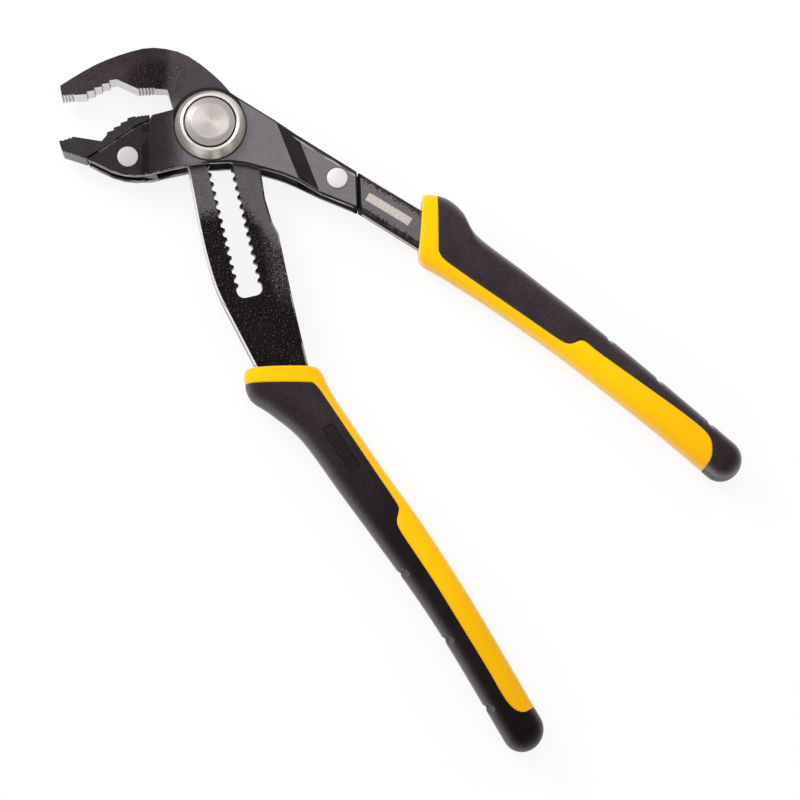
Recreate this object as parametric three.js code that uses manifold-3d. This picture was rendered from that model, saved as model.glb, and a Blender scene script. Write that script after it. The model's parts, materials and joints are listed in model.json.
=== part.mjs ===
import * as THREE from 'three';
import { mergeVertices } from 'three/addons/utils/BufferGeometryUtils.js';
import Module from 'manifold-3d';

// Water pump pliers: two crossed levers, a push-button pivot that locks in a toothed slot, moulded grips.
// Millimetres. The tool lies flat, button up (+Z), with its jaws to the left and its handles to the right.
// The origin is on the pivot axis, in the plane that the rear cap and the grip collars rest on.
// Heights inside the group are measured from the middle plane of the tool.

// Overall length. Places and outlines are drawn for a 300 mm tool and follow this length.
const TOOL_LENGTH = 300;
const spot = (x, y) => [x * TOOL_LENGTH / 300, y * TOOL_LENGTH / 300];
const line = (points) => points.map(([x, y]) => spot(x, y));

// Thicknesses across the tool
const GRIP_THICKNESS = 21;
const GRIP_WAIST_THICKNESS = 19.4;
const GRIP_TIP_THICKNESS = 18;
const BAR_THICKNESS = 8;
const UPPER_JAW_THICKNESS = 10.6;
const LOWER_JAW_THICKNESS = 12;
const JAW_TONGUE_THICKNESS = 6;
const SHANK_THICKNESS = 10.8;
const SHANK_TONGUE_THICKNESS = 4.4;
const CHEEK_THICKNESS = 3.2;

// Clearances
const RUNNING_GAP = 0.2;
const SEAT_GAP = 0.1;
const SEAM_GAP = 0.3;

// Head plates
const HEAD_RADIUS = 15.4;
const [FRONT_JOGGLE_START, REAR_JOGGLE_START] = spot(23.5, 24.4);
const FRONT_JOGGLE_RUN = 3;
const REAR_JOGGLE_RUN = 6;
const REAR_JOGGLE_TURN = 20.9;
const TONGUE_INSET = 1;

// Slot and rack
const SLOT_LEAN = 13.4;
const SLOT_HEAD_ROOM = 1.35;
const SLOT_FOOT = 68.8;
const SLOT_TIP_GAP = 7.5;
const RACK_PITCH = 3.75;
const RACK_DEPTH = 1.25;
const RACK_TIP_FLAT = 0.6;
const RACK_HEIGHT = 2.8;
const RACK_SHIFT_SHARE = 0.353;
const SLOT_CORNER = 3;
const BAR_CHAMFER = 0.7;

// Pivot, lock key and push button
const KEY_TEETH = 4;
const KEY_THICKNESS = 2.5;
const KEY_RECESS = 1.2;
const BUTTON_TRAVEL = 2.6;
const GUIDE_LENGTH = 14;
const JOURNAL_RADIUS = 7;
const POCKET_WALL = 0.85;
const POCKET_FLOOR = 0.8;
const STEM_INSET = 0.45;
const PRESS_PIN_RADIUS = 2.4;
const PRESS_PIN_LENGTH = 4;
const SPRING_WIRE = 0.7;
const SPRING_TURNS = 3.5;
const HOUSING_RADIUS = 13.7;
const HOUSING_WALL_HEIGHT = 1.5;
const HOUSING_HEIGHT = 5.6;
const HOUSING_RIM_RADIUS = 11.1;
const HOUSING_SPIGOT = 1.5;
const HOUSING_SPIGOT_WALL = 1;
const BUTTON_RADIUS = 9.7;
const BUTTON_FACE_RADIUS = 7.5;
const BUTTON_CHAMFER = 0.9;
const BUTTON_STAND = 1.5;
const BUTTON_FLANGE = 1;
const BUTTON_FLANGE_LIP = 1.3;
const BUTTON_RING_DEPTH = 0.25;
const BUTTON_RING_PITCH = 1.9;
const BUTTON_RINGS = 3;
const CAP_RADIUS = 12;
const CAP_CHAMFER = 1;
const CAP_SPIGOT = 1.2;
const CAP_SPIGOT_RADIUS = 9.6;

// Rivets, set back from the foot of each joggle
const JAW_RIVET_SETBACK = 5.3;
const SHANK_RIVET_SETBACK = 8.3;
const [JAW_RIVET_LEVEL, SHANK_RIVET_LEVEL] = spot(-12.4, -20.4);
const RIVET_RADIUS = 3;
const RIVET_HEAD_RADIUS = 4;
const RIVET_HEAD_HEIGHT = 0.6;

// Jaw teeth
const FINE_TOOTH_DEPTH = 0.55;
const FINE_TOOTH_PITCH = 1.4;
const COARSE_TOOTH_RISE = 1.05;
const COARSE_TEETH = 4;
const JAW_NECK_START = 16.5;
const JAW_NECK_RUN = 8.5;

// Grips
const SLEEVE_WALL = 3;
const COLLAR_CHAMFER = 1;
const TANG_WIDTH = 8;
const TANG_ENTRY = 4;
const GRIP_SQUARENESS = 0.72;
const SCOOP_RADIUS = 3;
const SCOOP_DEPTH = 1;
const SCOOP_LEAN = 22;

// Outline of the slotted lever: shared corners, the jaw's back and the two edges of the bar
const THROAT = spot(-14.3, 6.7);
const NECK_BACK = spot(9.2, 12.3);
const UPPER_JAW_BACK = line([
  [9.2, 12.3], [2, 20.5], [-10, 29.4], [-22, 31.8], [-34, 29.1], [-46, 24], [-58.3, 16.2],
]);
const JAW_ROOT = line([[-11, -5], [12, -5]]);
const BAR_LEFT = line([[-8.3, -18.3], [-3, -45], [2.3, -63.7], [9.7, -79], [18, -95.3]]);
const BAR_RIGHT = line([[38.2, -95.6], [32.7, -71.7], [26.5, -42.3]]);
const BAR_STEP = line([[24, -37.3], [21.3, -28.3], [19.7, -17.7]]);
const BAR_ROOT = line([[0, 20], [-10, 20]]);

// Ends of the tooth runs of the jaws, from the tips towards the throat, and the plain edges beside them
const UPPER_TIP_TEETH = line([[-57.6, 11.9], [-52.6, 12.4]]);
const UPPER_STEPS = line([[-47.9, 12.8], [-36.4, 18.8]]);
const UPPER_HOOK_TEETH = line([[-27.9, 14.9], [-21.5, 15.2]]);
const UPPER_HOOK_FLAT = line([[-17.7, 15.2], [-16.7, 14.9]]);
const LOWER_TOE = line([[-56.9, -10.1], [-57.7, -8.5], [-58.4, -6.1]]);
const LOWER_TIP_TEETH = line([[-57.6, -5.7], [-53.2, -4.2]]);
const LOWER_HOLLOW = spot(-42, -6);
const LOWER_STEPS = line([[-40, -3.5], [-29.5, 4]]);
const LOWER_HEEL_TEETH = line([[-29.2, 4], [-23.9, 4.8]]);
const LOWER_HEEL = spot(-23.3, 3.5);
const JAW_TONGUE = line([[-50, -11], [-30, 0.6], [-25.5, 0.6], [-20.5, 0]]);

// Outline of the cheeks: lower edge, shoulder against the lower jaw, heel and seam against the shank
const CHEEK_TOE = spot(-47.6, -13.3);
const CHEEK_BELLY = spot(-36.4, -18.7);
const CHEEK_CHIN = spot(-25.4, -19.8);
const CHEEK_UNDERSIDE = line([[-9.7, -16.2], [8.7, -14.4], [23.3, -17.7], [32.1, -20.8], [42.3, -26.2]]);
const CHEEK_HEEL = spot(-22.5, 4.3);
const JAW_SHOULDER = line([[-23.9, 1.6], [-27.9, 0.3]]);
const SEAM_LOW = spot(57.3, -32.4);
const SEAM_HIGH = spot(56.8, -17.7);
const HEAD_ARC = [0.29, 0.86];

// Corners of the shank where it enters the grip, and the levels of its tongue's front end
const SHANK_TOP = spot(84, -34.3);
const SHANK_BOTTOM = spot(83, -48.6);
const SHANK_TONGUE_LEVELS = spot(-7.5, -23.4);

// Grip edges, from the collar to the centre of the rounded tip: the outer side and the palm side.
// The sleeve outline runs along the colour boundary, from the collar round the end of the strip.
// The finger scoops are placed along the outer side, counted in its points.
const LOWER_GRIP = {
  outer: line([
    [13.8, -95.3], [13.2, -99], [15.5, -106.5], [23.5, -112], [35, -122.5],
    [50, -142.8], [65, -163.5], [80, -184.3], [93.3, -204], [111.9, -237.9],
  ]),
  inner: line([
    [42, -94.6], [43.6, -96.4], [45, -98.9], [47.9, -104], [52.5, -111.6],
    [65.8, -132.6], [80.6, -153.4], [94.6, -174.8], [106.7, -195.4], [126.1, -228.7],
  ]),
  sleeve: line([
    [-20, -101.3], [38, -101.4], [41.5, -103.4], [69.6, -146], [71.9, -149.2],
    [70.6, -156], [84.6, -177.5], [104.6, -211], [111.5, -223.8], [114.6, -227.2],
    [118.1, -228.5], [121.1, -227.8], [140, -216], [150, -260], [60, -260],
  ]),
  scoops: [6.5, 7.74, 8.62],
};
const UPPER_GRIP = {
  outer: line([
    [82.2, -26.6], [86, -26], [92.5, -27.8], [98.3, -32.5], [103.9, -41.6],
    [122.9, -55.8], [142.6, -71.1], [161.5, -88.4], [180.7, -105.5], [202.3, -123.5],
  ]),
  inner: line([
    [80.6, -52.6], [82.8, -54.4], [85, -55.6], [87.2, -56.9], [91, -59.2],
    [110, -71.5], [130, -86.5], [150, -102.5], [170, -118.5], [191.7, -136.5],
  ]),
  sleeve: line([
    [88.1, 10], [88.1, -50], [89.6, -53], [134.6, -84.4], [138.2, -85.6],
    [145.6, -85.5], [179.6, -111.5], [189.6, -119.6], [192.4, -124], [192.2, -129.8],
    [190, -133.8], [182, -146], [225, -150], [225, -60],
  ]),
  scoops: [6.6, 7.58, 8.47],
};

// Edge points between which the tang runs inside a grip
const TANG_FROM = 4;
const TANG_TO = 7;

// Steps of round forms, and how far cutting forms run past what they cut
const ROUND_STEPS = 40;
const RIVET_STEPS = 20;
const COIL_STEPS = 12;
const EDGE_STEPS = 16;
const GRIP_STEPS = 20;
const RING_POINTS = 16;
const TIP_STEPS = 4;
const CORNER_STEPS = 5;
const OVERSHOOT = 5;
const PAST_THE_TOOL = 200;

// Heights worked out from the sizes above
const restHeight = GRIP_THICKNESS / 2;
const barHalf = BAR_THICKNESS / 2;
const cheekInner = barHalf + RUNNING_GAP;
const cheekOuter = cheekInner + CHEEK_THICKNESS;
const jawCheekInner = JAW_TONGUE_THICKNESS / 2 + SEAT_GAP;
const shankCheekInner = SHANK_TONGUE_THICKNESS / 2 + SEAT_GAP;
const rackFloor = barHalf - RACK_HEIGHT;
const slotHalf = SLOT_TIP_GAP / 2 + RACK_DEPTH;
const rackShift = RACK_SHIFT_SHARE * RACK_PITCH;
const keyTop = rackFloor - SEAM_GAP;
const keyBottom = keyTop - KEY_THICKNESS;
const guideTop = keyBottom - SEAM_GAP;
const guideBottom = -cheekInner + SEAT_GAP;
const counterboreFloor = cheekOuter - HOUSING_SPIGOT;
const flangeBottom = counterboreFloor + SEAT_GAP;
const flangeTop = flangeBottom + BUTTON_FLANGE;
const rimTop = cheekOuter + HOUSING_HEIGHT;
const buttonTop = rimTop + BUTTON_STAND;
const lipBottom = flangeTop + BUTTON_TRAVEL + SEAT_GAP;
const flangeRadius = BUTTON_RADIUS + BUTTON_FLANGE_LIP;
const keyRootHalf = SLOT_TIP_GAP / 2 - RUNNING_GAP;
const keyCrestHalf = slotHalf - RUNNING_GAP;
const keyStart = rackShift - (Math.floor(KEY_TEETH / 2) + 0.5) * RACK_PITCH;
const keyEnd = keyStart + KEY_TEETH * RACK_PITCH;
const slotHead = SLOT_HEAD_ROOM + Math.max(-keyStart, GUIDE_LENGTH / 2);
const stemRadius = SLOT_TIP_GAP / 2 - STEM_INSET;
const pocketRadius = SLOT_TIP_GAP / 2 - POCKET_WALL;
const frontBore = Math.hypot(Math.max(-keyStart, keyEnd), keyCrestHalf) + RUNNING_GAP;
const journalBottom = -cheekOuter + CAP_SPIGOT + SEAT_GAP;
const jawRivetAt = [-FRONT_JOGGLE_START - FRONT_JOGGLE_RUN - JAW_RIVET_SETBACK, JAW_RIVET_LEVEL];
const shankRivetAt = behindJoggle(SHANK_RIVET_SETBACK, SHANK_RIVET_LEVEL);

const finishes = {
  blackSteel: { color: 0x1b1517, roughness: 0.55, metalness: 0.75 },
  satinSteel: { color: 0x5a565c, roughness: 0.42, metalness: 0.85 },
  brightSteel: { color: 0xcdc8c3, roughness: 0.3, metalness: 1 },
  hardYellow: { color: 0xffcd00, roughness: 0.45, metalness: 0 },
  softBlack: { color: 0x2d262a, roughness: 0.75, metalness: 0 },
};

const wasm = await Module();
wasm.setup();

const pliers = new THREE.Group();
pliers.position.z = restHeight;

// Closed geometry as a solid whose faces point outwards.
function solid(geometry) {
  geometry.deleteAttribute('normal');
  geometry.deleteAttribute('uv');
  const merged = mergeVertices(geometry);
  const points = merged.attributes.position;
  const corners = [0, 1, 2].map(() => new THREE.Vector3());
  const triangles = [];
  let volume = 0;
  for (let i = 0; i < merged.index.count; i += 3) {
    const triangle = [0, 1, 2].map((k) => merged.index.getX(i + k));
    if (new Set(triangle).size < 3) continue;
    corners.forEach((corner, k) => corner.fromBufferAttribute(points, triangle[k]));
    volume += corners[0].dot(corners[1].clone().cross(corners[2]));
    triangles.push(triangle);
  }
  if (volume < 0) triangles.forEach((triangle) => triangle.reverse());
  return new wasm.Manifold(new wasm.Mesh({
    numProp: 3,
    vertProperties: new Float32Array(points.array),
    triVerts: new Uint32Array(triangles.flat()),
  }));
}

// One named piece of the tool.
function piece(name, body, finish) {
  const { vertProperties, triVerts } = body.getMesh();
  const geometry = new THREE.BufferGeometry();
  geometry.setAttribute('position', new THREE.BufferAttribute(vertProperties, 3));
  geometry.setIndex(new THREE.BufferAttribute(triVerts, 1));
  geometry.computeVertexNormals();
  const mesh = new THREE.Mesh(geometry, new THREE.MeshStandardMaterial(finish));
  mesh.name = name;
  pliers.add(mesh);
}

function vectors(points) {
  return points.map(([x, y]) => new THREE.Vector2(x, y));
}

function curve(points, steps = EDGE_STEPS) {
  return new THREE.SplineCurve(vectors(points)).getPoints(steps).map(({ x, y }) => [x, y]);
}

// A flat outline raised from one height to another, with an even chamfer on both rims.
function plate(points, bottom, top, chamfer = 0) {
  const geometry = new THREE.ExtrudeGeometry(new THREE.Shape(vectors(points)), {
    depth: top - bottom - 2 * chamfer,
    bevelEnabled: chamfer > 0,
    bevelThickness: chamfer,
    bevelSize: chamfer,
    bevelOffset: -chamfer,
    bevelSegments: 1,
  });
  return solid(geometry.translate(0, 0, bottom + chamfer));
}

// A side profile of [distance, height] points, right across the tool and turned about the pivot axis.
function sideProfile(points, turn = 0) {
  const settings = { depth: 2 * PAST_THE_TOOL, bevelEnabled: false };
  const geometry = new THREE.ExtrudeGeometry(new THREE.Shape(vectors(points)), settings);
  geometry.translate(0, 0, -PAST_THE_TOOL);
  geometry.rotateX(Math.PI / 2);
  geometry.rotateZ(THREE.MathUtils.degToRad(turn));
  return solid(geometry);
}

// A turned form about the pivot axis from [radius, height] points, moved to another axis if given.
function turned(points, steps = ROUND_STEPS, [x, y] = [0, 0]) {
  const geometry = new THREE.LatheGeometry(vectors(points), steps);
  return solid(geometry.rotateX(Math.PI / 2).translate(x, y, 0));
}

function disc(radius, bottom, top, steps = ROUND_STEPS, at = [0, 0]) {
  return turned([[0, bottom], [radius, bottom], [radius, top], [0, top]], steps, at);
}

// A point of the slot: across it and down along it from the pivot axis.
function slotPoint(across, along) {
  const lean = THREE.MathUtils.degToRad(SLOT_LEAN);
  const x = along * Math.sin(lean) + across * Math.cos(lean);
  const y = across * Math.sin(lean) - along * Math.cos(lean);
  return [x, y];
}

// The point at a level, a distance behind the foot of the rear joggle.
function behindJoggle(distance, level) {
  const turn = THREE.MathUtils.degToRad(REAR_JOGGLE_TURN);
  const along = REAR_JOGGLE_START + REAR_JOGGLE_RUN + distance;
  return [(along - level * Math.sin(turn)) / Math.cos(turn), level];
}

// Fine saw teeth from one end of an edge to the other; depth is to the right of the way along it.
function serration([x0, y0], [x1, y1], depth) {
  const length = Math.hypot(x1 - x0, y1 - y0);
  const count = Math.max(1, Math.round(length / FINE_TOOTH_PITCH));
  const points = [];
  for (let i = 0; i < count; i += 1) {
    const crest = i / count;
    const root = (i + 0.5) / count;
    points.push([x0 + (x1 - x0) * crest, y0 + (y1 - y0) * crest]);
    points.push([
      x0 + (x1 - x0) * root + depth * (y1 - y0) / length,
      y0 + (y1 - y0) * root - depth * (x1 - x0) / length,
    ]);
  }
  return [...points, [x1, y1]];
}

// Coarse stepped teeth that climb from one end of an edge to the other.
function stepping([x0, y0], [x1, y1]) {
  const points = [];
  for (let i = 0; i < COARSE_TEETH; i += 1) {
    const x = x0 + (x1 - x0) * i / COARSE_TEETH;
    const y = y0 + (y1 - y0) * i / COARSE_TEETH;
    points.push([x, y], [x, y + COARSE_TOOTH_RISE]);
  }
  return [...points, [x1, y1]];
}

// The two edges of a grip at a place along it, counted in edge points from the collar.
function gripEdges(grip, place) {
  const share = place / (grip.outer.length - 1);
  const outer = new THREE.SplineCurve(vectors(grip.outer)).getPoint(share);
  const inner = new THREE.SplineCurve(vectors(grip.inner)).getPoint(share);
  return { outer, inner };
}

// One rounded cross-section between two edge points, shrunk all round by an inset.
function gripSection({ outer, inner }, thickness, inset) {
  const centre = outer.clone().lerp(inner, 0.5);
  const across = inner.clone().sub(outer);
  const halfWidth = across.length() / 2 - inset;
  const halfThickness = thickness / 2 - inset;
  const squared = (share) => Math.sign(share) * Math.abs(share) ** GRIP_SQUARENESS;
  across.normalize();
  return Array.from({ length: RING_POINTS }, (_, k) => {
    const angle = 2 * Math.PI * k / RING_POINTS;
    const reach = squared(Math.cos(angle)) * halfWidth;
    const rise = squared(Math.sin(angle)) * halfThickness;
    return new THREE.Vector3(centre.x + across.x * reach, centre.y + across.y * reach, rise);
  });
}

// The whole moulded form of a grip, or the form a given distance inside it.
function gripForm(grip, inset = 0) {
  const last = grip.outer.length - 1;
  const rings = [];
  for (let i = 0; i <= GRIP_STEPS; i += 1) {
    const place = last * i / GRIP_STEPS;
    const toWaist = THREE.MathUtils.smoothstep(place, 0, TANG_FROM);
    const toTip = THREE.MathUtils.smoothstep(place, TANG_FROM, last);
    const body = THREE.MathUtils.lerp(GRIP_THICKNESS, GRIP_WAIST_THICKNESS, toWaist);
    const thickness = THREE.MathUtils.lerp(body, GRIP_TIP_THICKNESS, toTip);
    const chamfer = i === 0 ? COLLAR_CHAMFER : 0;
    rings.push(gripSection(gripEdges(grip, place), thickness, inset + chamfer));
  }
  const tip = gripEdges(grip, last);
  const centre = tip.outer.clone().lerp(tip.inner, 0.5);
  const across = tip.inner.clone().sub(tip.outer).normalize();
  const radius = tip.inner.distanceTo(tip.outer) / 2 - inset;
  const before = gripEdges(grip, last - 0.5);
  const forward = centre.clone().sub(before.outer.clone().lerp(before.inner, 0.5)).normalize();
  for (let i = 1; i <= TIP_STEPS; i += 1) {
    const angle = Math.PI / 2 * i / (TIP_STEPS + 0.5);
    const middle = centre.clone().addScaledVector(forward, radius * Math.sin(angle));
    const half = radius * Math.cos(angle);
    const edges = {
      outer: middle.clone().addScaledVector(across, -half),
      inner: middle.clone().addScaledVector(across, half),
    };
    rings.push(gripSection(edges, (GRIP_TIP_THICKNESS - 2 * inset) * Math.cos(angle) ** 0.7, 0));
  }
  return loft(rings);
}

// A solid through rings of equal point counts, closed by a flat fan at both ends.
function loft(rings) {
  const count = rings[0].length;
  const last = (rings.length - 1) * count;
  const index = [];
  for (let k = 0; k < count; k += 1) {
    const next = (k + 1) % count;
    for (let start = 0; start < last; start += count) {
      index.push(start + k, start + next, start + count + next);
      index.push(start + k, start + count + next, start + count + k);
    }
    if (k > 0 && next > 0) {
      index.push(0, next, k);
      index.push(last, last + k, last + next);
    }
  }
  const geometry = new THREE.BufferGeometry().setFromPoints(rings.flat());
  return solid(geometry.setIndex(index));
}

// One long side of the tang hidden in a grip, from the collar end to the far end.
function tangSide(grip, side, grow) {
  const points = [];
  for (let place = TANG_FROM; place <= TANG_TO; place += 1) {
    const { outer, inner } = gripEdges(grip, place);
    const across = inner.clone().sub(outer).normalize();
    const middle = outer.clone().lerp(inner, 0.5);
    const point = middle.addScaledVector(across, side * (TANG_WIDTH / 2 + grow));
    points.push([point.x, point.y]);
  }
  return points;
}

// A finger scoop in the outer side of a grip: a round cut that leans inwards towards one face.
function scoop(grip, place, face) {
  const { outer, inner } = gripEdges(grip, place);
  const inward = inner.clone().sub(outer).normalize();
  const axis = outer.addScaledVector(inward, SCOOP_DEPTH - SCOOP_RADIUS);
  const lean = THREE.MathUtils.degToRad(SCOOP_LEAN);
  inward.multiplyScalar(Math.sin(lean));
  const direction = new THREE.Vector3(inward.x, inward.y, face * Math.cos(lean));
  const turn = new THREE.Quaternion().setFromUnitVectors(new THREE.Vector3(0, 1, 0), direction);
  const cut = new THREE.CylinderGeometry(SCOOP_RADIUS, SCOOP_RADIUS, 4 * GRIP_THICKNESS, RIVET_STEPS);
  return solid(cut.applyQuaternion(turn).translate(axis.x, axis.y, 0));
}

// The yellow core and the black sleeve of a grip, moulded round a tang.
function gripPieces(grip, prefix, cavity) {
  const form = gripForm(grip);
  const scoops = grip.scoops.flatMap((place) => [scoop(grip, place, 1), scoop(grip, place, -1)]);
  const web = gripForm(grip, SLEEVE_WALL);
  const region = plate(grip.sleeve, -GRIP_THICKNESS, GRIP_THICKNESS);
  const seam = plate(grownOutline(grip.sleeve, SEAM_GAP), -GRIP_THICKNESS, GRIP_THICKNESS);
  const hollow = gripForm(grip, SLEEVE_WALL - SEAM_GAP);
  const shell = form.intersect(region).subtract(hollow);
  const sleeve = scoops.reduce((rest, cut) => rest.subtract(cut), shell);
  piece(`${prefix}_core`, form.subtract(seam).add(web).subtract(cavity), finishes.hardYellow);
  piece(`${prefix}_sleeve`, sleeve, finishes.softBlack);
}

// A closed outline moved outwards by an even distance.
function grownOutline(points, distance) {
  const corners = vectors(points);
  const turn = THREE.ShapeUtils.isClockWise(corners) ? 1 : -1;
  return corners.map((corner, i) => {
    const before = corner.clone().sub(corners.at(i - 1)).normalize();
    const after = corners[(i + 1) % corners.length].clone().sub(corner).normalize();
    const normal = new THREE.Vector2(-(before.y + after.y), before.x + after.x).normalize();
    const stretch = 1 / Math.max(0.5, -normal.x * after.y + normal.y * after.x);
    const moved = corner.clone().addScaledVector(normal, turn * distance * stretch);
    return [moved.x, moved.y];
  });
}

// Slotted lever: hooked upper jaw, toothed bar and tang in one forging

// The tang inside the lower grip, from the bar's left edge round to its right one, grown by a clearance.
function lowerTang(grow) {
  const [leftX, leftY] = BAR_LEFT.at(-1);
  const [rightX, rightY] = BAR_RIGHT[0];
  return [
    [leftX - grow, leftY - TANG_ENTRY],
    ...tangSide(LOWER_GRIP, -1, grow),
    ...tangSide(LOWER_GRIP, 1, grow).reverse(),
    [rightX + grow, rightY - TANG_ENTRY],
  ];
}

// The space that the bar's end and the tang take in the lower grip.
function lowerSocket() {
  const tang = lowerTang(SEAM_GAP);
  const mouth = [tang.at(-1), tang[0]].map(([x, y]) => [x, y + TANG_ENTRY + OVERSHOOT]);
  return plate([...tang, ...mouth], -barHalf - SEAM_GAP, barHalf + SEAM_GAP);
}

function upperJaw() {
  const teeth = [
    ...serration(...UPPER_TIP_TEETH, -FINE_TOOTH_DEPTH),
    ...stepping(...UPPER_STEPS),
    ...serration(...UPPER_HOOK_TEETH, -FINE_TOOTH_DEPTH),
    ...UPPER_HOOK_FLAT,
  ];
  const half = UPPER_JAW_THICKNESS / 2;
  const neck = -JAW_NECK_START;
  const shoulder = neck - JAW_NECK_RUN;
  const top = [[-PAST_THE_TOOL, half], [shoulder, half], [neck, barHalf], [PAST_THE_TOOL, barHalf]];
  const bottom = top.map(([x, height]) => [x, -height]).reverse();
  const blank = plate([...curve(UPPER_JAW_BACK), ...teeth, THROAT, ...JAW_ROOT], -half, half);
  return blank.intersect(sideProfile([...top, ...bottom]));
}

// The slot's outline with rack teeth on both sides, or plain at the tooth roots.
function slotOutline(toothed) {
  const side = [[slotHalf, -slotHead]];
  const halfTip = RACK_TIP_FLAT / 2;
  const flank = RACK_PITCH / 4;
  const tip = slotHalf - RACK_DEPTH;
  const firstTip = rackShift + RACK_PITCH / 2;
  const first = Math.ceil((-slotHead + flank + halfTip - firstTip) / RACK_PITCH);
  const last = Math.floor((SLOT_FOOT - SLOT_CORNER - 2 * flank - firstTip) / RACK_PITCH);
  for (let i = first; toothed && i <= last; i += 1) {
    const middle = firstTip + i * RACK_PITCH;
    side.push([slotHalf, middle - flank - halfTip], [tip, middle - halfTip]);
    side.push([tip, middle + halfTip], [slotHalf, middle + flank + halfTip]);
  }
  const corner = new THREE.Path();
  corner.absarc(slotHalf - SLOT_CORNER, SLOT_FOOT - SLOT_CORNER, SLOT_CORNER, 0, Math.PI / 2, false);
  corner.getPoints(CORNER_STEPS).forEach(({ x, y }) => side.push([x, y]));
  const mirrored = side.map(([across, along]) => [-across, along]).reverse();
  return [...side, ...mirrored].map(([across, along]) => slotPoint(across, along));
}

function slottedLever() {
  const edges = [...curve(BAR_LEFT), ...lowerTang(0), ...curve(BAR_RIGHT), ...BAR_STEP];
  const bar = plate([THROAT, ...edges, NECK_BACK, ...BAR_ROOT], -barHalf, barHalf, BAR_CHAMFER);
  const plainSlot = plate(slotOutline(false), -barHalf - OVERSHOOT, rackFloor);
  const rackSlot = plate(slotOutline(true), rackFloor - SEAT_GAP, barHalf + OVERSHOOT);
  return bar.add(upperJaw()).subtract(plainSlot).subtract(rackSlot);
}

// Fixed lever: two joggled cheek plates riveted to a toothed lower jaw in front and a handle shank behind
function cheekOutline() {
  const [rear, front] = HEAD_ARC.map((share) => share * Math.PI);
  const arc = new THREE.Path().absarc(0, 0, HEAD_RADIUS, rear, front, false);
  const head = arc.getPoints(EDGE_STEPS).map(({ x, y }) => [x, y]);
  const underside = curve([CHEEK_TOE, CHEEK_BELLY, CHEEK_CHIN, ...CHEEK_UNDERSIDE]);
  return [...underside, SEAM_LOW, SEAM_HIGH, ...head, CHEEK_HEEL, ...JAW_SHOULDER];
}

// The space of one cheek plate, flat over the bar and joggled in towards the jaw and the shank.
function cheekBand(side) {
  const band = (inner, turn) => {
    const outer = inner.map(([x, height]) => [x, height + CHEEK_THICKNESS]).reverse();
    return sideProfile([...inner, ...outer].map(([x, height]) => [x, side * height]), turn);
  };
  const frontEnd = -FRONT_JOGGLE_START - FRONT_JOGGLE_RUN;
  const rearEnd = REAR_JOGGLE_START + REAR_JOGGLE_RUN;
  const front = [
    [-PAST_THE_TOOL, jawCheekInner],
    [frontEnd, jawCheekInner],
    [-FRONT_JOGGLE_START, cheekInner],
    [0, cheekInner],
  ];
  const rear = [
    [-HEAD_RADIUS / 2, cheekInner],
    [REAR_JOGGLE_START, cheekInner],
    [rearEnd, shankCheekInner],
    [PAST_THE_TOOL, shankCheekInner],
  ];
  return band(front, 0).add(band(rear, REAR_JOGGLE_TURN));
}

function rivetHole([x, y]) {
  return disc(RIVET_RADIUS + SEAT_GAP, -GRIP_THICKNESS, GRIP_THICKNESS, RIVET_STEPS, [x, y]);
}

function cheek(side) {
  return plate(cheekOutline(), -GRIP_THICKNESS, GRIP_THICKNESS)
    .intersect(cheekBand(side))
    .subtract(rivetHole(jawRivetAt))
    .subtract(rivetHole(shankRivetAt));
}

function lowerJaw() {
  const half = LOWER_JAW_THICKNESS / 2;
  const tongueHalf = JAW_TONGUE_THICKNESS / 2;
  const shoulder = [...JAW_SHOULDER, CHEEK_TOE].map(([x, y]) => [x - SEAM_GAP, y + SEAM_GAP]);
  const exposed = [
    ...LOWER_TOE,
    ...serration(...LOWER_TIP_TEETH, FINE_TOOTH_DEPTH),
    LOWER_HOLLOW,
    ...stepping(...LOWER_STEPS),
    ...serration(...LOWER_HEEL_TEETH, FINE_TOOTH_DEPTH),
    LOWER_HEEL,
    ...shoulder,
  ];
  const [tongueEnd] = JAW_TONGUE.at(-1);
  const lowEdge = [[tongueEnd, CHEEK_CHIN[1]], CHEEK_CHIN, CHEEK_BELLY, CHEEK_TOE];
  const tongue = [...JAW_TONGUE, ...lowEdge.map(([x, y]) => [x, y + TONGUE_INSET])];
  return plate(exposed, -half, half)
    .add(plate(tongue, -tongueHalf, tongueHalf))
    .subtract(rivetHole(jawRivetAt));
}

// The shank from the cheek seam into the collar, grown at the collar by a clearance.
function shankBlade(grow) {
  const [low, high] = [SEAM_LOW, SEAM_HIGH].map(([x, y]) => [x + SEAM_GAP, y]);
  const bottom = [SHANK_BOTTOM[0] + grow, SHANK_BOTTOM[1] - grow];
  const top = [SHANK_TOP[0] + grow, SHANK_TOP[1] + grow];
  return [low, bottom, top, high];
}

// The thinner tang inside the upper grip.
function upperTang(grow) {
  return [
    [SHANK_BOTTOM[0] - OVERSHOOT, SHANK_BOTTOM[1] + OVERSHOOT - grow],
    ...tangSide(UPPER_GRIP, 1, grow),
    ...tangSide(UPPER_GRIP, -1, grow).reverse(),
    [SHANK_TOP[0] - OVERSHOOT, SHANK_TOP[1] + grow],
  ];
}

function handleShank() {
  const half = SHANK_THICKNESS / 2;
  const tongueHalf = SHANK_TONGUE_THICKNESS / 2;
  const [lowX, lowY] = SEAM_LOW;
  const [highX, highY] = SEAM_HIGH;
  const tongue = [
    ...SHANK_TONGUE_LEVELS.map((level) => behindJoggle(SEAM_GAP, level)),
    [lowX, lowY + TONGUE_INSET],
    [lowX + OVERSHOOT, lowY + OVERSHOOT],
    [highX + OVERSHOOT, highY - OVERSHOOT],
    [highX, highY - TONGUE_INSET],
  ];
  return plate(shankBlade(0), -half, half)
    .add(plate(tongue, -tongueHalf, tongueHalf))
    .add(plate(upperTang(0), -barHalf, barHalf))
    .subtract(rivetHole(shankRivetAt));
}

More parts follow.
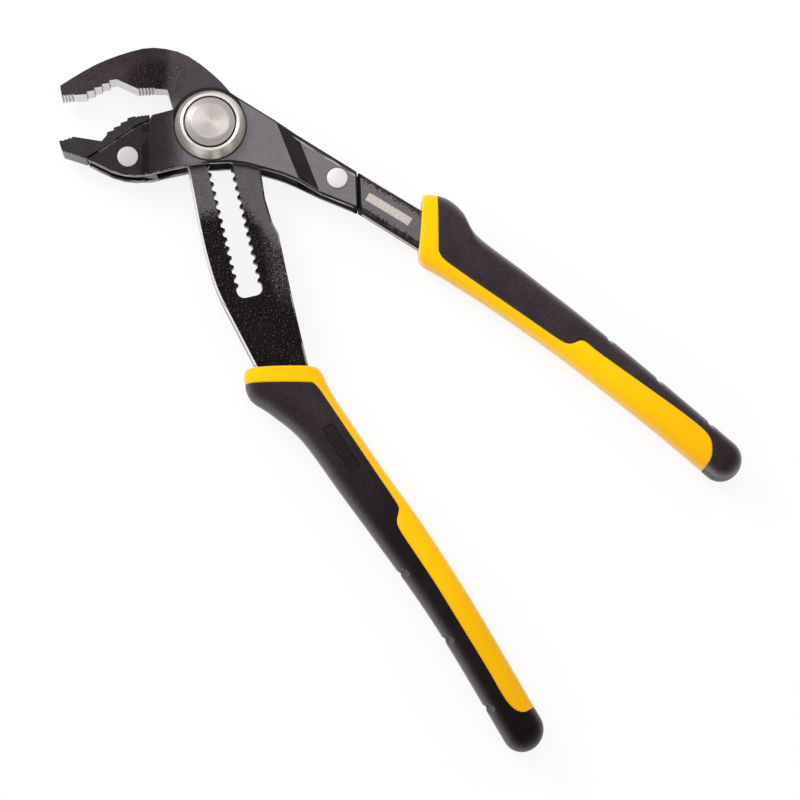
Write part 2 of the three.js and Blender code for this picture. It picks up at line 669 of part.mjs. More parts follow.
// A rivet through both cheeks, with a low head on each.
function rivet(at, inner) {
  const seat = inner + CHEEK_THICKNESS;
  const crown = RIVET_HEAD_RADIUS * 0.8;
  const head = [
    [RIVET_RADIUS, seat],
    [RIVET_HEAD_RADIUS, seat],
    [RIVET_HEAD_RADIUS, seat + RIVET_HEAD_HEIGHT / 2],
    [crown, seat + RIVET_HEAD_HEIGHT],
    [0, seat + RIVET_HEAD_HEIGHT],
  ];
  const tail = head.map(([radius, height]) => [radius, -height]).reverse();
  return turned([...tail, ...head], RIVET_STEPS, at);
}

// Pivot: guide block in the plain half of the slot, on a journal that turns in the rear cheek
function pivotGuide() {
  const half = slotHalf - RUNNING_GAP;
  const end = GUIDE_LENGTH / 2;
  const corners = [[half, -end], [half, end], [-half, end], [-half, -end]];
  const outline = corners.map(([across, along]) => slotPoint(across, along));
  const block = plate(outline, guideBottom - SEAT_GAP, guideTop);
  const journal = disc(JOURNAL_RADIUS, journalBottom, guideBottom);
  const pocket = disc(pocketRadius, journalBottom + POCKET_FLOOR, guideTop + OVERSHOOT, RIVET_STEPS);
  return block.add(journal).subtract(pocket);
}

// Lock key: toothed on both sides, on a stem that is pressed into the button
function lockKey() {
  const halfTip = RACK_TIP_FLAT / 2 - RUNNING_GAP / 2;
  const flank = RACK_PITCH / 4;
  const side = [[keyRootHalf, keyStart]];
  for (let i = 0; i < KEY_TEETH; i += 1) {
    const middle = keyStart + (i + 0.5) * RACK_PITCH;
    side.push([keyRootHalf, middle - flank - halfTip], [keyCrestHalf, middle - halfTip]);
    side.push([keyCrestHalf, middle + halfTip], [keyRootHalf, middle + flank + halfTip]);
  }
  side.push([keyRootHalf, keyEnd]);
  const mirrored = side.map(([across, along]) => [-across, along]).reverse();
  const teeth = [...side, ...mirrored].map(([across, along]) => slotPoint(across, along));
  const stem = disc(stemRadius, keyTop - SEAT_GAP, flangeBottom, RIVET_STEPS);
  const pinTop = flangeBottom + PRESS_PIN_LENGTH;
  const pin = disc(PRESS_PIN_RADIUS, flangeBottom - SEAT_GAP, pinTop, RIVET_STEPS);
  const recess = disc(pocketRadius, keyBottom - OVERSHOOT, keyBottom + KEY_RECESS, RIVET_STEPS);
  return plate(teeth, keyBottom, keyTop).add(stem).add(pin).subtract(recess);
}

function returnSpring() {
  const bottom = journalBottom + POCKET_FLOOR + SEAT_GAP + SPRING_WIRE / 2;
  const top = keyBottom + KEY_RECESS - SEAT_GAP - SPRING_WIRE / 2;
  const radius = pocketRadius - RUNNING_GAP - SPRING_WIRE / 2;
  const steps = Math.round(SPRING_TURNS * COIL_STEPS);
  const points = Array.from({ length: steps + 1 }, (_, i) => {
    const angle = 2 * Math.PI * SPRING_TURNS * i / steps;
    const height = THREE.MathUtils.lerp(bottom, top, i / steps);
    return new THREE.Vector3(radius * Math.cos(angle), radius * Math.sin(angle), height);
  });
  const wire = new THREE.Shape().absarc(0, 0, SPRING_WIRE / 2, 0, 2 * Math.PI, false);
  const section = wire.getPoints(COIL_STEPS / 4).slice(0, -1);
  return solid(new THREE.ExtrudeGeometry(new THREE.Shape(section), {
    steps,
    bevelEnabled: false,
    extrudePath: new THREE.CatmullRomCurve3(points),
  }));
}

function buttonHousing() {
  const spigot = flangeRadius + SEAT_GAP + RUNNING_GAP + HOUSING_SPIGOT_WALL;
  const wallTop = cheekOuter + HOUSING_WALL_HEIGHT;
  const bore = BUTTON_RADIUS + RUNNING_GAP;
  const chamber = flangeRadius + RUNNING_GAP;
  const bottom = counterboreFloor + SEAT_GAP;
  return turned([
    [chamber, bottom],
    [spigot, bottom],
    [spigot, cheekOuter + SEAT_GAP],
    [HOUSING_RADIUS, cheekOuter + SEAT_GAP],
    [HOUSING_RADIUS, wallTop],
    [HOUSING_RIM_RADIUS, rimTop],
    [bore, rimTop],
    [bore, lipBottom],
    [chamber, lipBottom],
    [chamber, bottom],
  ]);
}

function pushButton() {
  const face = [[BUTTON_RADIUS, buttonTop - BUTTON_CHAMFER], [BUTTON_FACE_RADIUS, buttonTop]];
  for (let i = 0; i < BUTTON_RINGS; i += 1) {
    const outer = BUTTON_FACE_RADIUS - (i + 0.5) * BUTTON_RING_PITCH;
    const step = buttonTop - (i % 2 === 0 ? BUTTON_RING_DEPTH : 0);
    const before = buttonTop - (i % 2 === 0 ? 0 : BUTTON_RING_DEPTH);
    face.push([outer, before], [outer - BUTTON_RING_DEPTH, step]);
  }
  const level = face.at(-1)[1];
  const body = turned([
    [0, flangeBottom],
    [flangeRadius, flangeBottom],
    [flangeRadius, flangeTop],
    [BUTTON_RADIUS, flangeTop],
    ...face,
    [0, level],
  ]);
  const socketTop = flangeBottom + PRESS_PIN_LENGTH + SEAT_GAP;
  const socket = disc(PRESS_PIN_RADIUS + SEAT_GAP, flangeBottom - OVERSHOOT, socketTop, RIVET_STEPS);
  return body.subtract(socket);
}

function rearCap() {
  const seat = -cheekOuter - SEAT_GAP;
  const spigotTop = -cheekOuter + CAP_SPIGOT;
  return turned([
    [0, -restHeight],
    [CAP_RADIUS - CAP_CHAMFER, -restHeight],
    [CAP_RADIUS, -restHeight + CAP_CHAMFER],
    [CAP_RADIUS, seat],
    [CAP_SPIGOT_RADIUS, seat],
    [CAP_SPIGOT_RADIUS, spigotTop],
    [0, spigotTop],
  ]);
}

// Bores of the two cheeks: a counterbore for the housing in front, a journal bore and a cap seat behind
const housingSeat = flangeRadius + SEAT_GAP + RUNNING_GAP + HOUSING_SPIGOT_WALL + SEAT_GAP;
const housingBore = disc(housingSeat, counterboreFloor, GRIP_THICKNESS);
const frontBores = disc(frontBore, 0, GRIP_THICKNESS).add(housingBore);
const capSeat = CAP_SPIGOT_RADIUS + SEAT_GAP;
const rearBores = disc(JOURNAL_RADIUS + RUNNING_GAP, -GRIP_THICKNESS, 0)
  .add(disc(capSeat, -GRIP_THICKNESS, -cheekOuter + CAP_SPIGOT + SEAT_GAP));

piece('slotted_lever', slottedLever(), finishes.blackSteel);
piece('front_cheek', cheek(1).subtract(frontBores), finishes.satinSteel);
piece('rear_cheek', cheek(-1).subtract(rearBores), finishes.satinSteel);
piece('lower_jaw', lowerJaw(), finishes.blackSteel);
piece('handle_shank', handleShank(), finishes.satinSteel);
piece('jaw_rivet', rivet(jawRivetAt, jawCheekInner), finishes.brightSteel);
piece('shank_rivet', rivet(shankRivetAt, shankCheekInner), finishes.brightSteel);
piece('pivot_guide', pivotGuide(), finishes.brightSteel);
piece('lock_key', lockKey(), finishes.brightSteel);
piece('return_spring', returnSpring(), finishes.brightSteel);
piece('push_button', pushButton(), finishes.brightSteel);
piece('button_housing', buttonHousing(), finishes.brightSteel);
piece('rear_cap', rearCap(), finishes.brightSteel);
gripPieces(LOWER_GRIP, 'lower_grip', lowerSocket());
const shankHalf = SHANK_THICKNESS / 2 + SEAM_GAP;
const upperCavity = plate(shankBlade(SEAM_GAP), -shankHalf, shankHalf)
  .add(plate(upperTang(SEAM_GAP), -barHalf - SEAM_GAP, barHalf + SEAM_GAP));
gripPieces(UPPER_GRIP, 'upper_grip', upperCavity);

export default pliers;
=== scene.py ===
"""Water pump pliers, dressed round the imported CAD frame.

Lengths are in millimetres while a piece is shaped and become metres when it is made.
"""

from __future__ import annotations

import json
import logging
import math
from dataclasses import dataclass, field
from enum import Enum
from typing import Any, Callable, Iterable, Mapping, Sequence, Union

import bmesh
import bpy
from mathutils import Matrix, Vector

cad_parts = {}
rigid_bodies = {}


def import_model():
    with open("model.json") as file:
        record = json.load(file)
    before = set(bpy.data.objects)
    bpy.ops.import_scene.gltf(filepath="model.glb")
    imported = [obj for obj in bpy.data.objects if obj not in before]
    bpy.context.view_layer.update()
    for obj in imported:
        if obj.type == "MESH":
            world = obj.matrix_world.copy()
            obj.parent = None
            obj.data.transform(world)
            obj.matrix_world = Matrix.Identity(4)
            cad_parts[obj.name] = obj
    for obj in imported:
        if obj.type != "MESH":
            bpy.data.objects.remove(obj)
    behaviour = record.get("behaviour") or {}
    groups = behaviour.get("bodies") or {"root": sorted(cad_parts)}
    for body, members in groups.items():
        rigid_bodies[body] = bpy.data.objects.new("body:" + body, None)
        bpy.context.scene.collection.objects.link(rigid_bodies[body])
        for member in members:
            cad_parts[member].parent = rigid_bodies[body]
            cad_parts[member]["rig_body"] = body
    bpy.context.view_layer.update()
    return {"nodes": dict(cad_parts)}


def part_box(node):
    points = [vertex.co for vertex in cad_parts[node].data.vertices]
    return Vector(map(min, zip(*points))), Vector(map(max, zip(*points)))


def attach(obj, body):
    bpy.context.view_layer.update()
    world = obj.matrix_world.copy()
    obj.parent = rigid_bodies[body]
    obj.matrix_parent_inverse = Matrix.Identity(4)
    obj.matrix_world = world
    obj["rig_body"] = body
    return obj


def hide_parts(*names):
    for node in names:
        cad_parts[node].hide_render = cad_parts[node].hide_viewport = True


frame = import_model()

MM = 0.001
MIDDLE = 10.5
JAW_RIVET = (-31.8, -12.4)
SHANK_RIVET = (49.2, -20.4)
HOUSING_SEAT = 14.2
RIVET_SEAT = 4.4
SEATS = (((0.0, 0.0), HOUSING_SEAT), (JAW_RIVET, RIVET_SEAT), (SHANK_RIVET, RIVET_SEAT))
GRIPS_RUN = (0.62, -0.78)
SMOOTH_BELOW = math.radians(38)
SHARP_FROM = math.radians(28)
BEND_FROM = math.radians(6)
FLAT_WITHIN = math.radians(0.6)
HALVINGS = 40
LOG = logging.getLogger("pliers")

Point = tuple[float, float]
Triple = tuple[float, float, float]
Colour = Triple


class Body(Enum):
    """Bodies of the frame that pieces ride on."""

    FIXED = "fixed_lever"
    PIVOT = "pivot"
    SLOTTED = "slotted_lever"
    BUTTON = "lock_button"


class Slot(Enum):
    """Material slots of the record."""

    BLACK = "forged_black"
    PLATE = "satin_plate"
    BRIGHT = "bright_steel"
    YELLOW = "grip_yellow"
    RUBBER = "grip_black"


# Shader maths


class Signal:
    """A node output that takes part in Python arithmetic."""

    def __init__(self, bench: "NodeBench", socket: bpy.types.NodeSocket | None) -> None:
        """Wraps one output socket of a node on a bench."""
        self.bench = bench
        self.socket = socket

    def math(self, operation: str, *values: "Value") -> "Signal":
        """Adds one Math node.

        Args:
            operation: The Math node's operation.
            values: Its inputs in order.

        Returns:
            The node's output.
        """
        settings = {"operation": operation}
        return self.bench.add("ShaderNodeMath", settings, dict(enumerate(values)))

    def __add__(self, other: "Value") -> "Signal":
        """Sum."""
        return self.math("ADD", self, other)

    def __radd__(self, other: "Value") -> "Signal":
        """Sum with a number on the left."""
        return self.math("ADD", other, self)

    def __sub__(self, other: "Value") -> "Signal":
        """Difference."""
        return self.math("SUBTRACT", self, other)

    def __rsub__(self, other: "Value") -> "Signal":
        """Difference from a number on the left."""
        return self.math("SUBTRACT", other, self)

    def __mul__(self, other: "Value") -> "Signal":
        """Product."""
        return self.math("MULTIPLY", self, other)

    def __rmul__(self, other: "Value") -> "Signal":
        """Product with a number on the left."""
        return self.math("MULTIPLY", other, self)

    def __neg__(self) -> "Signal":
        """Opposite value."""
        return self.math("MULTIPLY", self, -1.0)

    def __abs__(self) -> "Signal":
        """Size without sign."""
        return self.math("ABSOLUTE", self)

    def root(self) -> "Signal":
        """Square root."""
        return self.math("SQRT", self)

    def least(self, other: "Value") -> "Signal":
        """The smaller of two values."""
        return self.math("MINIMUM", self, other)

    def most(self, other: "Value") -> "Signal":
        """The larger of two values."""
        return self.math("MAXIMUM", self, other)

    def rise(self, low: float, high: float) -> "Signal":
        """Smooth step from 0 at low to 1 at high."""
        settings = {"interpolation_type": "SMOOTHSTEP"}
        return self.bench.add("ShaderNodeMapRange", settings, {0: self, 1: low, 2: high})


Value = Union[float, Signal]
Paint = Union[Colour, Signal]


class NodeBench:
    """The node tree of one material or of the world."""

    def __init__(self, tree: bpy.types.NodeTree) -> None:
        """Clears a tree and starts on it."""
        self.tree = tree
        tree.nodes.clear()

    def add(
        self,
        kind: str,
        settings: Mapping[str, Any] | None = None,
        inputs: Mapping[Any, Any] | None = None,
        output: int | str | None = 0,
    ) -> Signal:
        """Adds one node.

        Args:
            kind: The node's type.
            settings: Attributes of the node, set before its sockets.
            inputs: Values or signals by socket name or number.
            output: Name or number of the output to return, or None for a node that ends a tree.

        Returns:
            The chosen output.
        """
        node = self.tree.nodes.new(kind)
        for key, value in (settings or {}).items():
            setattr(node, key, value)
        for key, value in (inputs or {}).items():
            if isinstance(value, Signal):
                self.tree.links.new(value.socket, node.inputs[key])
            elif isinstance(value, tuple) and len(value) == 3 and node.inputs[key].type == "RGBA":
                node.inputs[key].default_value = (*value, 1.0)
            else:
                node.inputs[key].default_value = value
        return Signal(self, None if output is None else node.outputs[output])

    def place(self) -> Signal:
        """Object coordinates in millimetres.

        Returns:
            The coordinates.
        """
        coordinates = self.add("ShaderNodeTexCoord", output="Object")
        inputs = {0: coordinates, "Scale": 1 / MM}
        return self.add("ShaderNodeVectorMath", {"operation": "SCALE"}, inputs)

    def axes(self, vector: Signal) -> tuple[Signal, Signal, Signal]:
        """The three components of a vector."""
        node = self.add("ShaderNodeSeparateXYZ", inputs={0: vector}).socket.node
        return tuple(Signal(self, socket) for socket in node.outputs)

    def facing(self) -> tuple[Signal, Signal, Signal]:
        """Components of a face's own normal in the piece's directions.

        Returns:
            The shares along X, Y and Z.
        """
        normal = self.add("ShaderNodeNewGeometry", output="True Normal")
        settings = {"vector_type": "NORMAL", "convert_from": "WORLD", "convert_to": "OBJECT"}
        return self.axes(self.add("ShaderNodeVectorTransform", settings, {0: normal}))

    def stretch(self, vector: Signal, scale: Triple, turn: float = 0.0) -> Signal:
        """Coordinates turned about Z and stretched along each axis.

        Args:
            vector: Coordinates to change.
            scale: Factor for each axis.
            turn: Angle of the turn.

        Returns:
            The new coordinates.
        """
        settings = {"vector_type": "POINT"}
        inputs = {"Vector": vector, "Rotation": (0.0, 0.0, turn), "Scale": scale}
        return self.add("ShaderNodeMapping", settings, inputs)

    def noise(self, vector: Signal, size: float, detail: float = 2.0, rough: float = 0.5) -> Signal:
        """Noise from 0 to 1.

        Args:
            vector: Coordinates in millimetres.
            size: Size of its largest blotches in millimetres.
            detail: Number of finer layers.
            rough: Strength of the finer layers.

        Returns:
            The noise value.
        """
        inputs = {"Vector": vector, "Scale": 1 / size, "Detail": detail, "Roughness": rough}
        return self.add("ShaderNodeTexNoise", None, inputs)

    def cells(self, vector: Signal, size: float) -> Signal:
        """Distance to the nearest of scattered points, in units of their spacing."""
        return self.add("ShaderNodeTexVoronoi", None, {"Vector": vector, "Scale": 1 / size})

    def mix(self, share: Value, under: Paint, over: Paint) -> Signal:
        """Blends two colours by a share from 0 to 1."""
        settings = {"data_type": "RGBA"}
        return self.add("ShaderNodeMix", settings, {0: share, 6: under, 7: over}, output=2)

    def blend(self, share: Value, under: Value, over: Value) -> Signal:
        """Blends two numbers by a share from 0 to 1."""
        return self.add("ShaderNodeMix", None, {0: share, 2: under, 3: over})

    def bump(self, height: Signal, depth: float, under: Signal | None = None) -> Signal:
        """A normal from a height of 0 to 1 that stands for a depth in millimetres.

        Args:
            height: The height.
            depth: What a height of 1 stands for.
            under: A normal to start from.

        Returns:
            The normal.
        """
        inputs = {"Height": height, "Distance": depth * MM, "Strength": 1.0}
        if under is not None:
            inputs["Normal"] = under
        return self.add("ShaderNodeBump", None, inputs)

    def surface(self, **inputs: Any) -> Signal:
        """A Principled surface; underscores in names stand for spaces."""
        named = {key.replace("_", " "): value for key, value in inputs.items()}
        return self.add("ShaderNodeBsdfPrincipled", None, named)


# Finishes


def srgb(red: int, green: int, blue: int) -> Colour:
    """Linear colour from screen values of 0 to 255."""
    shares = (channel / 255 for channel in (red, green, blue))
    return tuple(s / 12.92 if s <= 0.04045 else ((s + 0.055) / 1.055) ** 2.4 for s in shares)


@dataclass(frozen=True)
class Finish:
    """A surface finish; each kind says how its nodes are laid."""

    name: str

    def material(self) -> bpy.types.Material:
        """A new material with this finish.

        Returns:
            The material.
        """
        made = bpy.data.materials.new(self.name)
        made.use_nodes = True
        bench = NodeBench(made.node_tree)
        bench.add("ShaderNodeOutputMaterial", None, {"Surface": self.lay(bench)}, output=None)
        return made

    def lay(self, bench: NodeBench) -> Signal:
        """Lays the finish's nodes and returns the shader output."""
        raise NotImplementedError


@dataclass(frozen=True)
class Site:
    """Where a point lies on its piece, in millimetres, and which way its surface faces."""

    bench: NodeBench
    place: Signal
    x: Signal
    y: Signal
    z: Signal
    nx: Signal
    ny: Signal
    nz: Signal

    @classmethod
    def on(cls, bench: NodeBench) -> "Site":
        """The site of a bench's surface; the upward share of its facing has no sign.

        Args:
            bench: The bench of a material.

        Returns:
            The site.
        """
        place = bench.place()
        nx, ny, nz = bench.facing()
        return cls(bench, place, *bench.axes(place), nx, ny, abs(nz))

    def noise(self, size: float, detail: float = 2.0, rough: float = 0.5) -> Signal:
        """Noise from 0 to 1 with blotches of a size in millimetres."""
        return self.bench.noise(self.place, size, detail, rough)

    def wander(self, size: float, reach: float) -> Signal:
        """An irregular shift of about half a reach to either side."""
        return (self.noise(size, 3.0, 0.6) - 0.5) * reach

    def below(self, point: Point, fall: float) -> Signal:
        """Distance below a line through a point that falls to the right by an angle in degrees."""
        right, down = math.sin(math.radians(fall)), math.cos(math.radians(fall))
        return (self.x - point[0]) * -right + (self.y - point[1]) * -down

    def outwards(self) -> Signal:
        """Distance from the pivot in the direction in which the grips run."""
        return self.x * GRIPS_RUN[0] + self.y * GRIPS_RUN[1]

    def slope(self) -> Signal:
        """1 on edges and chamfers between a flat face and a wall."""
        return self.nz.rise(0.25, 0.4) * (1.0 - self.nz.rise(0.86, 0.95))


@dataclass(frozen=True)
class Panel:
    """A blank oblong with rounded corners on the top of a piece, flush or a little sunk."""

    at: Point
    turn: float
    half: Point
    corner: float
    depth: float = 0.0
    ramp: float = 0.3

    def past_corners(self, x: Value, y: Value) -> tuple[Value, Value]:
        """How far a point lies beyond the centres of the corners, along the panel and across it.

        Args:
            x: The point's place along X.
            y: Its place along Y.

        Returns:
            The two distances, less than 0 short of the centres.
        """
        turn = math.radians(self.turn)
        right, up = x - self.at[0], y - self.at[1]
        along = abs(right * math.cos(turn) + up * math.sin(turn)) - (self.half[0] - self.corner)
        across = abs(up * math.cos(turn) - right * math.sin(turn)) - (self.half[1] - self.corner)
        return along, across

    def edge(self, site: Site) -> Signal:
        """Distance out from the outline, less than 0 inside it."""
        along, across = (side.most(0.0) for side in self.past_corners(site.x, site.y))
        return (along * along + across * across).root() - self.corner

    def sunk(self, point: Vector) -> Vector:
        """A point of a piece's skin, lowered where it lies in the panel.

        Args:
            point: A point in millimetres.

        Returns:
            The point in its new place.
        """
        if point.z < MIDDLE:
            return point
        along, across = (max(side, 0.0) for side in self.past_corners(point.x, point.y))
        inside = 1 - smoothstep(math.hypot(along, across) - self.corner, -self.ramp, self.ramp)
        return point - Vector((0.0, 0.0, self.depth * inside))


@dataclass(frozen=True)
class CoatedSteel(Finish):
    """Steel under a black coat, ground grey on flat areas and bare on some walls."""

    grey: Colour = srgb(120, 115, 119)
    black: Colour = srgb(16, 10, 13)
    rubbed_and_sheen: Colour = srgb(40, 32, 35)
    bright: Colour = srgb(214, 209, 214)
    gloss: float = 0.22
    flat_from: float = 0.972
    pits: float = 0.16
    hammer_depth: float = 0.24
    edge_wear: float = 0.35
    # Colour of the painted shade.
    shade: Colour = srgb(5, 4, 4)
    grain_turn: float = 0.0

    def coat(self, site: Site) -> Signal:
        """Share of the coat that is left on flat faces."""
        raise NotImplementedError

    def hammer(self, site: Site) -> Signal:
        """Strength of the hammered texture."""
        return site.noise(5.0) * 0.12

    def tint(self, site: Site) -> Paint:
        """Colour of the coat."""
        return self.black

    def sparkle(self, site: Site) -> Value:
        """Strength of the painted glints, bright specks on the hammered skin that stand in for its
        highlights.
        """
        return 0.6

    def bare_and_highlights(self, site: Site) -> Signal | None:
        """Share of bare metal, and of bright bare lines painted as highlights."""
        return None

    def painted_shade(self, site: Site) -> Signal | None:
        """Share of painted shade: dull black painted in gaps and on walls that lie in shade."""
        return None

    def lay(self, bench: NodeBench) -> Signal:
        """Lays ground steel, the coat over it, worn edges, painted glints, bright lines painted as
        highlights and painted shade.

        Args:
            bench: The bench of the material.

        Returns:
            The shader output.
        """
        site = Site.on(bench)
        fine = site.noise(0.5, 3.0, 0.65)
        broad = site.noise(9.0, 3.0, 0.6)
        grain = bench.noise(bench.stretch(site.place, (0.12, 2.2, 1.0), self.grain_turn), 0.9)
        dents = bench.cells(site.place, 0.85)
        hammer = self.hammer(site)
        flat = site.nz.rise(self.flat_from - 0.02, self.flat_from)
        pits = (self.pits - bench.cells(site.place, 1.05) + (broad - 0.5) * 0.3).rise(0.0, 0.07)
        coat = (1.0 - flat * (1.0 - self.coat(site))).most(pits * 0.8)
        tone = (broad - 0.5) * 0.5 + (grain - 0.5) * 0.45 + (fine - 0.5) * 1.2 + 0.5
        ground = bench.mix(tone.rise(0.0, 1.0), tuple(0.55 * c for c in self.grey), self.grey)
        # Painted glints: small bright metal specks stand in for highlights on the hammered relief.
        glints = hammer * (0.16 - bench.cells(site.place, 0.7) + (fine - 0.5) * 0.3).rise(0.0, 0.06)
        enamel = bench.mix((fine - 0.5 + broad * 0.5).rise(0.1, 0.5), self.tint(site), self.rubbed_and_sheen)
        colour = bench.mix(coat, ground, bench.mix(glints * self.sparkle(site), enamel, self.bright))
        wear_and_painted_light = site.slope() * (broad + (fine - 0.5) * 0.7).rise(0.47, 0.6) * self.edge_wear
        # Bright bare metal: partly real wear, partly lines painted as highlights.
        bare_and_highlights = self.bare_and_highlights(site)
        if bare_and_highlights is not None:
            wear_and_painted_light = wear_and_painted_light.most(bare_and_highlights * (0.85 + (fine - 0.5) * 0.8).least(1.0))
        smooth = bench.blend(flat, 0.18, 0.34) + (fine - 0.5) * 0.14 - hammer * 0.1
        rough = bench.blend(coat, 0.46 + (grain - 0.5) * 0.14, smooth)
        relief = hammer * dents * self.hammer_depth + grain * 0.008 + fine * 0.012
        colour = bench.mix(wear_and_painted_light, colour, self.bright)
        metal = (1.0 - coat).most(wear_and_painted_light).most(glints * 0.5) * 0.92
        rough = bench.blend(wear_and_painted_light, rough, 0.4)
        # Painted shade: gaps and shaded walls are painted a dull black.
        painted_shade = self.painted_shade(site)
        if painted_shade is not None:
            colour = bench.mix(painted_shade, colour, self.shade)
            metal = metal * (1.0 - painted_shade)
            rough = bench.blend(painted_shade, rough, 0.9)
        return bench.surface(
            Base_Color=colour,
            Metallic=metal,
            Roughness=rough,
            Specular_IOR_Level=self.gloss,
            Normal=bench.bump(relief, 1.0),
        )


@dataclass(frozen=True)
class LeverSteel(CoatedSteel):
    """The slotted lever: coated jaw and lower bar, ground upper bar, dark rack and bright teeth."""

    slot_lean: float = 13.4
    rack_reach: float = 5.15
    grinding_end: float = -35.0
    fringe: float = 7.0
    patch_at: Point = (-20.5, 20.0)
    patch_half: Point = (13.0, 8.0)
    jaw_point: Colour = srgb(62, 53, 58)
    jaw_side: Colour = srgb(46, 38, 43)
    jaw_patch: Colour = srgb(22, 16, 20)
    # Colour of the painted sheen along the bar's right edge.
    bar_sheen: Colour = srgb(88, 79, 81)

    def below_grinding(self, site: Site) -> Signal:
        """How far a point lies beyond the end of the ground area, from -1 to 1 across its fringe."""
        line = site.x.rise(7.0, 9.0) * (18.5 - site.x * 1.2) + self.grinding_end
        return (line - site.y + site.wander(7.0, 6.0)) * (1 / self.fringe)

    def coat(self, site: Site) -> Signal:
        """The jaw, the lower bar and the tops of the rack teeth keep their coat.

        Args:
            site: Where the finish is laid.

        Returns:
            The share of the coat.
        """
        lean = math.radians(self.slot_lean)
        bar = (self.below_grinding(site) + (site.noise(0.9, 2.0, 0.6) - 0.5) * 1.5).rise(-0.5, 0.25)
        neck = (site.x + site.wander(5.0, 3.0)).rise(-19.0, -14.0)
        jaw = site.y.rise(9.0, 12.0) * (1.0 - neck * 0.4)
        across = abs(site.x * math.cos(lean) + site.y * math.sin(lean))
        teeth = 1.0 - across.rise(self.rack_reach - 0.3, self.rack_reach)
        rack = teeth * (1.0 - site.y.rise(-13.0, -9.0))
        return bar.most(jaw).most(rack)

    def patch(self, site: Site) -> Signal:
        """Patch of hammered skin on the side of the jaw.

        Args:
            site: Where the finish is laid.

        Returns:
            1 in the patch and 0 outside it.
        """
        wide = (site.x - self.patch_at[0]) * (1 / self.patch_half[0])
        high = (site.y - self.patch_at[1]) * (1 / self.patch_half[1])
        return 1.0 - (wide * wide + high * high + site.wander(5.0, 1.2)).rise(0.3, 1.2)

    def hammer(self, site: Site) -> Signal:
        """The lower bar and a patch of the jaw show their hammered skin."""
        return self.below_grinding(site).rise(-1.3, 0.2).most(self.patch(site)).most(0.1)

    def right_edge(self, site: Site) -> Signal:
        """1 along the right edge of the bar, above its lowest part."""
        inward = (site.x + site.y * 0.22 - 17.2) * -1.0
        return (1.0 - inward.rise(3.0, 9.0)) * site.y.rise(-74.0, -60.0)

    def tint(self, site: Site) -> Paint:
        """The jaw is rubbed a little lighter than the bar, most at its point, and a painted sheen lightens
        the bar along its right edge.

        Args:
            site: Where the finish is laid.

        Returns:
            The coat's colour.
        """
        mix = site.bench.mix
        jaw = mix(site.x.rise(-46.0, -20.0), self.jaw_point, self.jaw_side)
        jaw = mix(self.patch(site) * 0.8, jaw, self.jaw_patch)
        # Painted sheen: the bar is lightened in blotches along its right edge.
        sheen = self.right_edge(site) * site.noise(0.9, 2.0, 0.6).rise(0.35, 0.65) * 0.9
        return mix(site.y.rise(2.0, 9.0), mix(sheen, self.black, self.bar_sheen), jaw)

    def sparkle(self, site: Site) -> Value:
        """Painted glints are brightest along the right edge of the bar."""
        bar = self.right_edge(site) * 0.6 + site.noise(6.0) * 0.3 + 0.1
        return bar.most(self.patch(site) * 0.22)

    def bare_and_highlights(self, site: Site) -> Signal | None:
        """Tooth walls, the throat and the bar's left chamfer are bare.

        Args:
            site: Where the finish is laid.

        Returns:
            The share of bare metal.
        """
        wall = 1.0 - site.nz.rise(0.35, 0.6)
        jaw = (1.0 - site.x.rise(-13.5, -12.0)) * site.y.rise(5.0, 7.0) * wall
        teeth = jaw * (1.0 - site.ny.rise(0.1, 0.4)) * (1.0 - site.nx.rise(0.2, 0.5) * 0.6)
        strip = (-site.nx).rise(0.35, 0.5) * site.slope() * (1.0 - site.y.rise(-12.0, -9.0))
        return teeth.most(strip)


